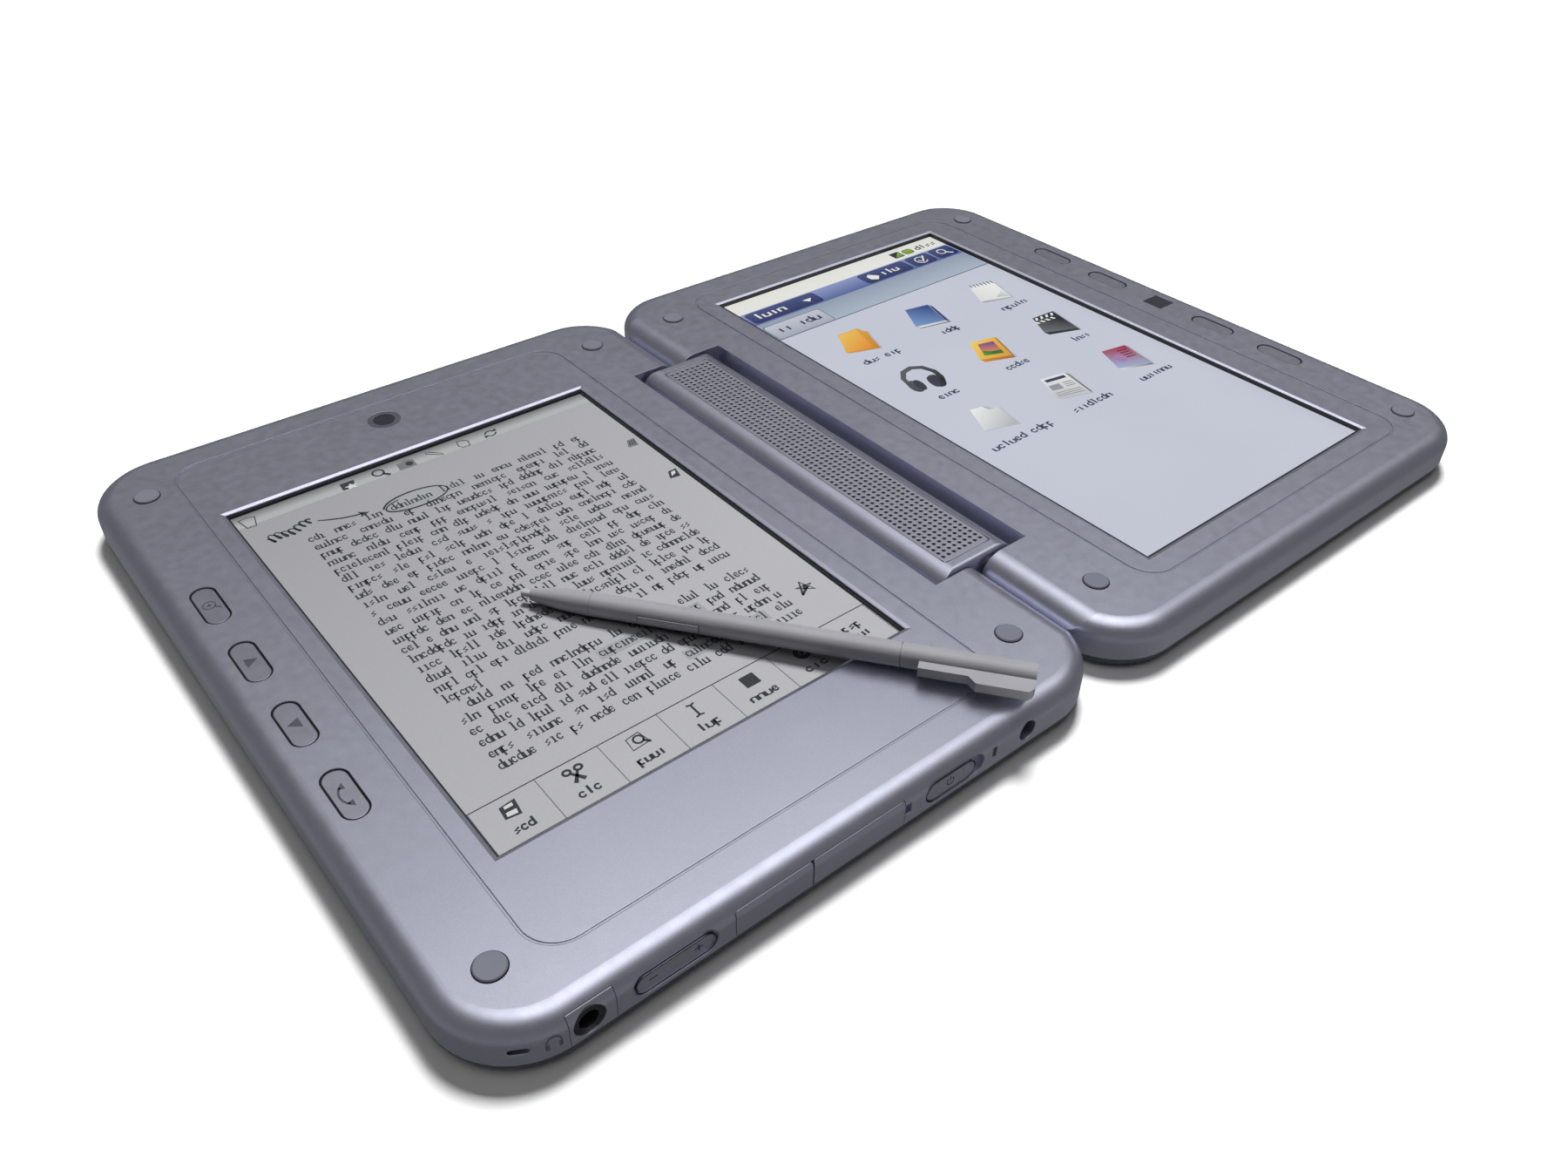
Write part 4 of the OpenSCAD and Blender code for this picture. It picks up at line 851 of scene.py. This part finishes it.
bars()
status()
for draw in (folder, book, ring_pad, headphones, framed_sunset, clapper_board, turned_sheet,
             newspaper, magazine):
    draw()
icon_labels()
picture.done()


# ---------- marks on the keys and the foot edge, and painted shade round keys, pads and controls ---

MARK = moulded("mark_paint", srgb(62, 62, 72), srgb(76, 76, 86), 0.6)
# Near-black for the gaps round keys, pads and controls: painted shade where the gaps fall dark.
GAP_SHADE = moulded("painted_gap_shade", srgb(14, 14, 18), srgb(22, 22, 28), 0.7)
READER_CAP, TABLET_CAP = (4.6, 13.0), (4.4, 12.8)  # width and length of a key above the casing
shell_top = max(box_mm(node)[1].z for node in ("reader_top_shell", "tablet_top_shell"))


def pad_centres(node):
    """The middle of each round pad in a node."""
    groups = {}
    for vertex in nodes[node].data.vertices:
        q = vertex.co / MM
        groups.setdefault((round(q.x / 20), round(q.y / 40)), []).append(q)
    return [((min(q.x for q in g) + max(q.x for q in g)) / 2, (min(q.y for q in g) + max(q.y for q in g)) / 2)
            for g in groups.values()]


def key_marks(node):
    m = Marks(node + "_mark", node, "black_plastic", MARK, top_middle(node))
    return m.use(lift=-0.004, thick=0.024)


def key_icons():
    """A magnifier, two page arrows, and a turning arrow."""
    m = key_marks("zoom_key")
    m.arc(-0.2, 0.3, 1.25, 1.25, 0, 360, 0.3, 18)
    m.line([(0.7, -0.6), (1.7, -1.7)], 0.45)
    m.line([(-0.8, 0.3), (0.4, 0.3)], 0.26)
    m.line([(-0.2, -0.3), (-0.2, 0.9)], 0.26)
    m.done()
    for node, s in (("page_up_key", 1), ("page_down_key", -1)):
        m = key_marks(node)
        m.plate([(-1.0 * s, 1.45), (-1.0 * s, -1.45), (1.45 * s, 0.3)])
        m.done()
    m = key_marks("rotate_key")
    m.arc(0.5, -0.3, 1.6, 2.4, 112, 248, 0.42, 12)
    m.plate([(-0.8, 1.75), (0.6, 1.25), (0.5, 2.95)])
    m.plate([(-0.8, -2.35), (0.5, -3.55), (0.6, -1.85)])
    m.done()


def gap_shade_line(name, body, origin, u=(1, 0, 0), v=(0, 1, 0), lift=-0.005):
    """A thin line of painted shade on the casing, where the gap round a control falls dark."""
    return Marks(name, body, "black_plastic", GAP_SHADE, origin, u, v).use(lift=lift, thick=0.02)


def key_gaps(node, body, cap):
    """A black skirt under a key's cap, painted shade that darkens the gap round the key, and the painted
    shadow line round its hole.
    """
    w, l = cap
    place = top_middle(node)
    skirt = Marks(node + "_shade_skirt", node, "black_plastic", GAP_SHADE, place).use(lift=-1.0, thick=0.82)
    skirt.round_box(-w / 2 - 0.24, -l / 2 - 0.24, w / 2 + 0.24, l / 2 + 0.24, w / 2 + 0.2, 12)
    skirt.done()
    rim = gap_shade_line(node + "_rim", body, (place.x, place.y, shell_top))
    rim.pill(w / 2 + 0.37, l / 2 + 0.37, 0.14)
    rim.done()


def pad_rings(node, body):
    # A ring of painted shade on the casing round each pad, where the gap round it falls dark.
    rings = gap_shade_line(node + "_rings", body, (0, 0, shell_top))
    for x, y in pad_centres(node):
        rings.arc(x, y, 2.86, 2.86, 0, 360, 0.2, 40)
    rings.done()


face_y = box_mm("reader_top_shell")[0].y
port_z = sum(corner.z for corner in box_mm("headphone_socket")) / 2
glyph_x = -131.8


def corner_drop(x, z):
    """How far the foot face has turned inward at x, measured from the headphone mark's middle."""
    bend_x, bend_r = -128.5, 16.5
    past = max(0.0, bend_x - (glyph_x + x))
    return bend_r - math.sqrt(bend_r ** 2 - past ** 2)


def foot_marks(name, body, x, y, drop=None):
    m = Marks(name, body, "black_plastic", MARK, (x, y, port_z), (1, 0, 0), (0, 0, 1), drop=drop)
    return m.use(lift=-0.01, thick=0.03)


def control_line(name, node):
    """The shadow line round a control on the foot edge."""
    lo, hi = box_mm(node)
    rim = gap_shade_line(name, "reader_half", ((lo.x + hi.x) / 2, face_y, port_z), (0, 0, -1), (1, 0, 0), -0.01)
    rim.pill((hi.z - lo.z) / 2 + 0.3, (hi.x - lo.x) / 2 + 0.3, 0.26)
    rim.done()


def foot_edge():
    """The headphone sign, the rocker's minus and plus, the slider's power sign, and the painted shade lines
    round the rocker and the slider.
    """
    m = foot_marks("headphone_mark", "reader_half", glyph_x, face_y, corner_drop)
    m.arc(0, 0.1, 1.15, 1.35, -10, 190, 0.22, 14)
    for x in (-1.05, 1.05):
        m.round_box(x - 0.32, -1.5, x + 0.32, -0.1, 0.2)
    m.done()
    place = top_middle("volume_rocker")
    m = foot_marks("rocker_marks", "volume_rocker", place.x, box_mm("volume_rocker")[0].y)
    m.line([(-5.2, 0), (-3.6, 0)], 0.32)
    m.line([(3.6, 0), (5.2, 0)], 0.32)
    m.line([(4.4, -0.8), (4.4, 0.8)], 0.32)
    m.done()
    control_line("rocker_rim", "volume_rocker")
    control_line("slider_rim", "power_slider")
    place = top_middle("power_slider")
    m = foot_marks("slider_mark", "power_slider", place.x, box_mm("power_slider")[0].y)
    m.arc(0, 0, 0.85, 0.85, 130, 410, 0.26, 16)
    m.line([(0, 0.2), (0, 1.2)], 0.26)
    m.done()


key_icons()
for node in READER_KEYS:
    key_gaps(node, "reader_half", READER_CAP)
for node in TABLET_KEYS:
    key_gaps(node, "tablet_half", TABLET_CAP)
pad_rings("reader_pads", "reader_half")
pad_rings("tablet_pads", "tablet_half")
foot_edge()


# ---------- the perforated speaker grille ----------


def grille():
    """A plate with rows of round holes, each with a chamfered rim, over a dust cloth."""
    lo, hi = box_mm("speaker_grille")
    sheet_t, hole_r, hole_rim, edge_rim, corner_cut = 0.6, 0.43, 0.1, 0.12, 0.2
    across, along, pitch_x, pitch_y = 8, 67, 1.66, 1.55
    top, low = hi.z, hi.z - sheet_t
    x0, y0 = -across * pitch_x / 2, (lo.y + hi.y) / 2 - along * pitch_y / 2
    turns = [math.radians(15 + 30 * k) for k in range(12)]
    bm = bmesh.new()

    def v(x, y, z):
        return bm.verts.new((x * MM, y * MM, z * MM))

    def net(z):
        return [[v(x0 + i * pitch_x, y0 + j * pitch_y, z) for j in range(along + 1)]
                for i in range(across + 1)]

    def hole(i, j):
        cx, cy = x0 + (i + 0.5) * pitch_x, y0 + (j + 0.5) * pitch_y
        rings = [[v(cx + r * math.cos(a), cy + r * math.sin(a), z) for a in turns]
                 for r, z in ((0.5, top), (hole_r, top - hole_rim), (hole_r, low))]
        for z, ring, flip in ((top, rings[0], False), (low, rings[2], True)):
            c = nets[z]
            ne, nw, sw, se = c[i + 1][j + 1], c[i][j + 1], c[i][j], c[i + 1][j]
            faces = [[ne, nw, ring[3], ring[2]], [nw, sw, ring[6], ring[5]],
                     [sw, se, ring[9], ring[8]], [se, ne, ring[0], ring[11]]]
            for q, k in ((ne, 0), (nw, 3), (sw, 6), (se, 9)):
                faces += [[q, ring[k + 1], ring[k]], [q, ring[k + 2], ring[k + 1]]]
            for f in faces:
                bm.faces.new(f[::-1] if flip else f)
        for a, b in zip(rings, rings[1:]):
            for k in range(12):
                n = (k + 1) % 12
                bm.faces.new([a[k], a[n], b[n], b[k]])

    def edge(grid):
        return ([grid[i][0] for i in range(across)] + [grid[across][j] for j in range(along)]
                + [grid[i][along] for i in range(across, 0, -1)] + [grid[0][j] for j in range(along, 0, -1)])

    def outline(inset, z):
        """The net's edge moved out to the plate's, with cut corners."""
        ring = []
        for q in inner:
            x, y = q.co.x / MM, q.co.y / MM
            on_x, on_y = abs(abs(x) - abs(x0)) < 1e-6, abs(abs(y) - abs(y0)) < 1e-6
            cut = corner_cut if on_x and on_y else 0
            if on_x:
                x = math.copysign(hi.x - inset - cut, x)
            if on_y:
                y = math.copysign(hi.y - inset - cut, y)
            ring.append(v(x, y, z))
        return ring

    nets = {z: net(z) for z in (top, low)}
    for i in range(across):
        for j in range(along):
            hole(i, j)
    inner, under = edge(nets[top]), edge(nets[low])
    loops = [inner, outline(edge_rim, top), outline(0, top - edge_rim), outline(0, low), under]
    for a, b in zip(loops, loops[1:]):
        for k in range(len(a)):
            n = (k + 1) % len(a)
            bm.faces.new([a[n], a[k], b[k], b[n]])
    bmesh.ops.recalc_face_normals(bm, faces=bm.faces[:])
    plate = add_object("grille_plate", bm, "spine", [finishes["grille_metal"]])
    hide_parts("speaker_grille")
    weave = cloth("dust_cloth", srgb(30, 30, 32))
    dust = Marks("grille_cloth", "spine", "black_plastic", weave, (0, 0, lo.z))
    dust.use(lift=0.02, thick=0.12).round_box(lo.x + 0.2, lo.y + 0.2, hi.x - 0.2, hi.y - 0.2, 0.6)
    dust.done()


grille()


# ---------- floor, light and camera; places in metres ----------

scene = bpy.context.scene


def floor():
    bm = bmesh.new()
    bmesh.ops.create_grid(bm, x_segments=8, y_segments=8, size=4.0)
    mesh = bpy.data.meshes.new("floor")
    bm.to_mesh(mesh)
    bm.free()
    mesh.materials.append(floor_white())
    obj = bpy.data.objects.new("floor", mesh)
    scene.collection.objects.link(obj)
    obj.visible_glossy = False


def sky():
    """A studio for the reflections: bright overhead, a little to the colour half's side, and
    dark all round. The softboxes light the scene, so the sky gives no diffuse light."""
    overhead = Vector((0.2, 0.06, 0.98)).normalized()
    levels = ((0.15, 0.1), (0.25, 0.2), (0.5, 0.13), (0.75, 0.12), (0.83, 0.15), (0.875, 0.24),
              (0.905, 0.4), (0.93, 0.66), (0.95, 1.0), (0.965, 1.45), (1.0, 1.7))
    world = bpy.data.worlds.new("studio")
    scene.world = world
    world.use_nodes = True
    t = world.node_tree
    t.nodes.clear()
    place, toward, span, ramp, back, out = (t.nodes.new("ShaderNode" + kind) for kind in (
        "TexCoord", "VectorMath", "MapRange", "ValToRGB", "Background", "OutputWorld"))
    toward.operation = "DOT_PRODUCT"
    toward.inputs[1].default_value = overhead
    span.inputs["From Min"].default_value = -1.0
    for k, (at, level) in enumerate(levels):
        stop = ramp.color_ramp.elements[k] if k < 2 else ramp.color_ramp.elements.new(at)
        stop.position = at
        stop.color = (level, level, level, 1)
    t.links.new(place.outputs["Generated"], toward.inputs[0])
    t.links.new(toward.outputs["Value"], span.inputs["Value"])
    t.links.new(span.outputs[0], ramp.inputs[0])
    t.links.new(ramp.outputs[0], back.inputs["Color"])
    t.links.new(back.outputs[0], out.inputs["Surface"])
    world.cycles_visibility.diffuse = False


def softbox(name, place, size, power):
    """A square light that faces the object and doesn't show in reflections."""
    data = bpy.data.lights.new(name, "AREA")
    data.shape = "SQUARE"
    data.size = size
    data.energy = power
    lamp = bpy.data.objects.new(name, data)
    lamp.location = place
    lamp.rotation_mode = "QUATERNION"
    lamp.rotation_quaternion = (-Vector(place)).to_track_quat("-Z", "Y")
    lamp.visible_glossy = False
    scene.collection.objects.link(lamp)


def camera():
    """Over the e-paper half's outer foot corner, looking across both halves, rolled a little."""
    cam = bpy.data.objects.new("camera", bpy.data.cameras.new("camera"))
    scene.collection.objects.link(cam)
    cam.data.sensor_width = 36
    cam.data.lens = 28.22
    cam.data.clip_start = 0.01
    cam.data.clip_end = 20
    cam.location = (-0.1713, -0.1928, 0.1744)
    look = Vector((0.5035, 0.5949, -0.6265)).to_track_quat("-Z", "Y")
    cam.rotation_mode = "QUATERNION"
    cam.rotation_quaternion = look @ Quaternion((0, 0, 1), math.radians(1.25))
    scene.camera = cam


floor()
sky()
softbox("key_softbox", (0.95, 0.95, 2.86), 0.75, 122)
softbox("fill_softbox", (-0.6, -0.6, 3.2), 2.4, 17)
camera()
scene.view_settings.view_transform = "Standard"

bpy.context.view_layer.update()
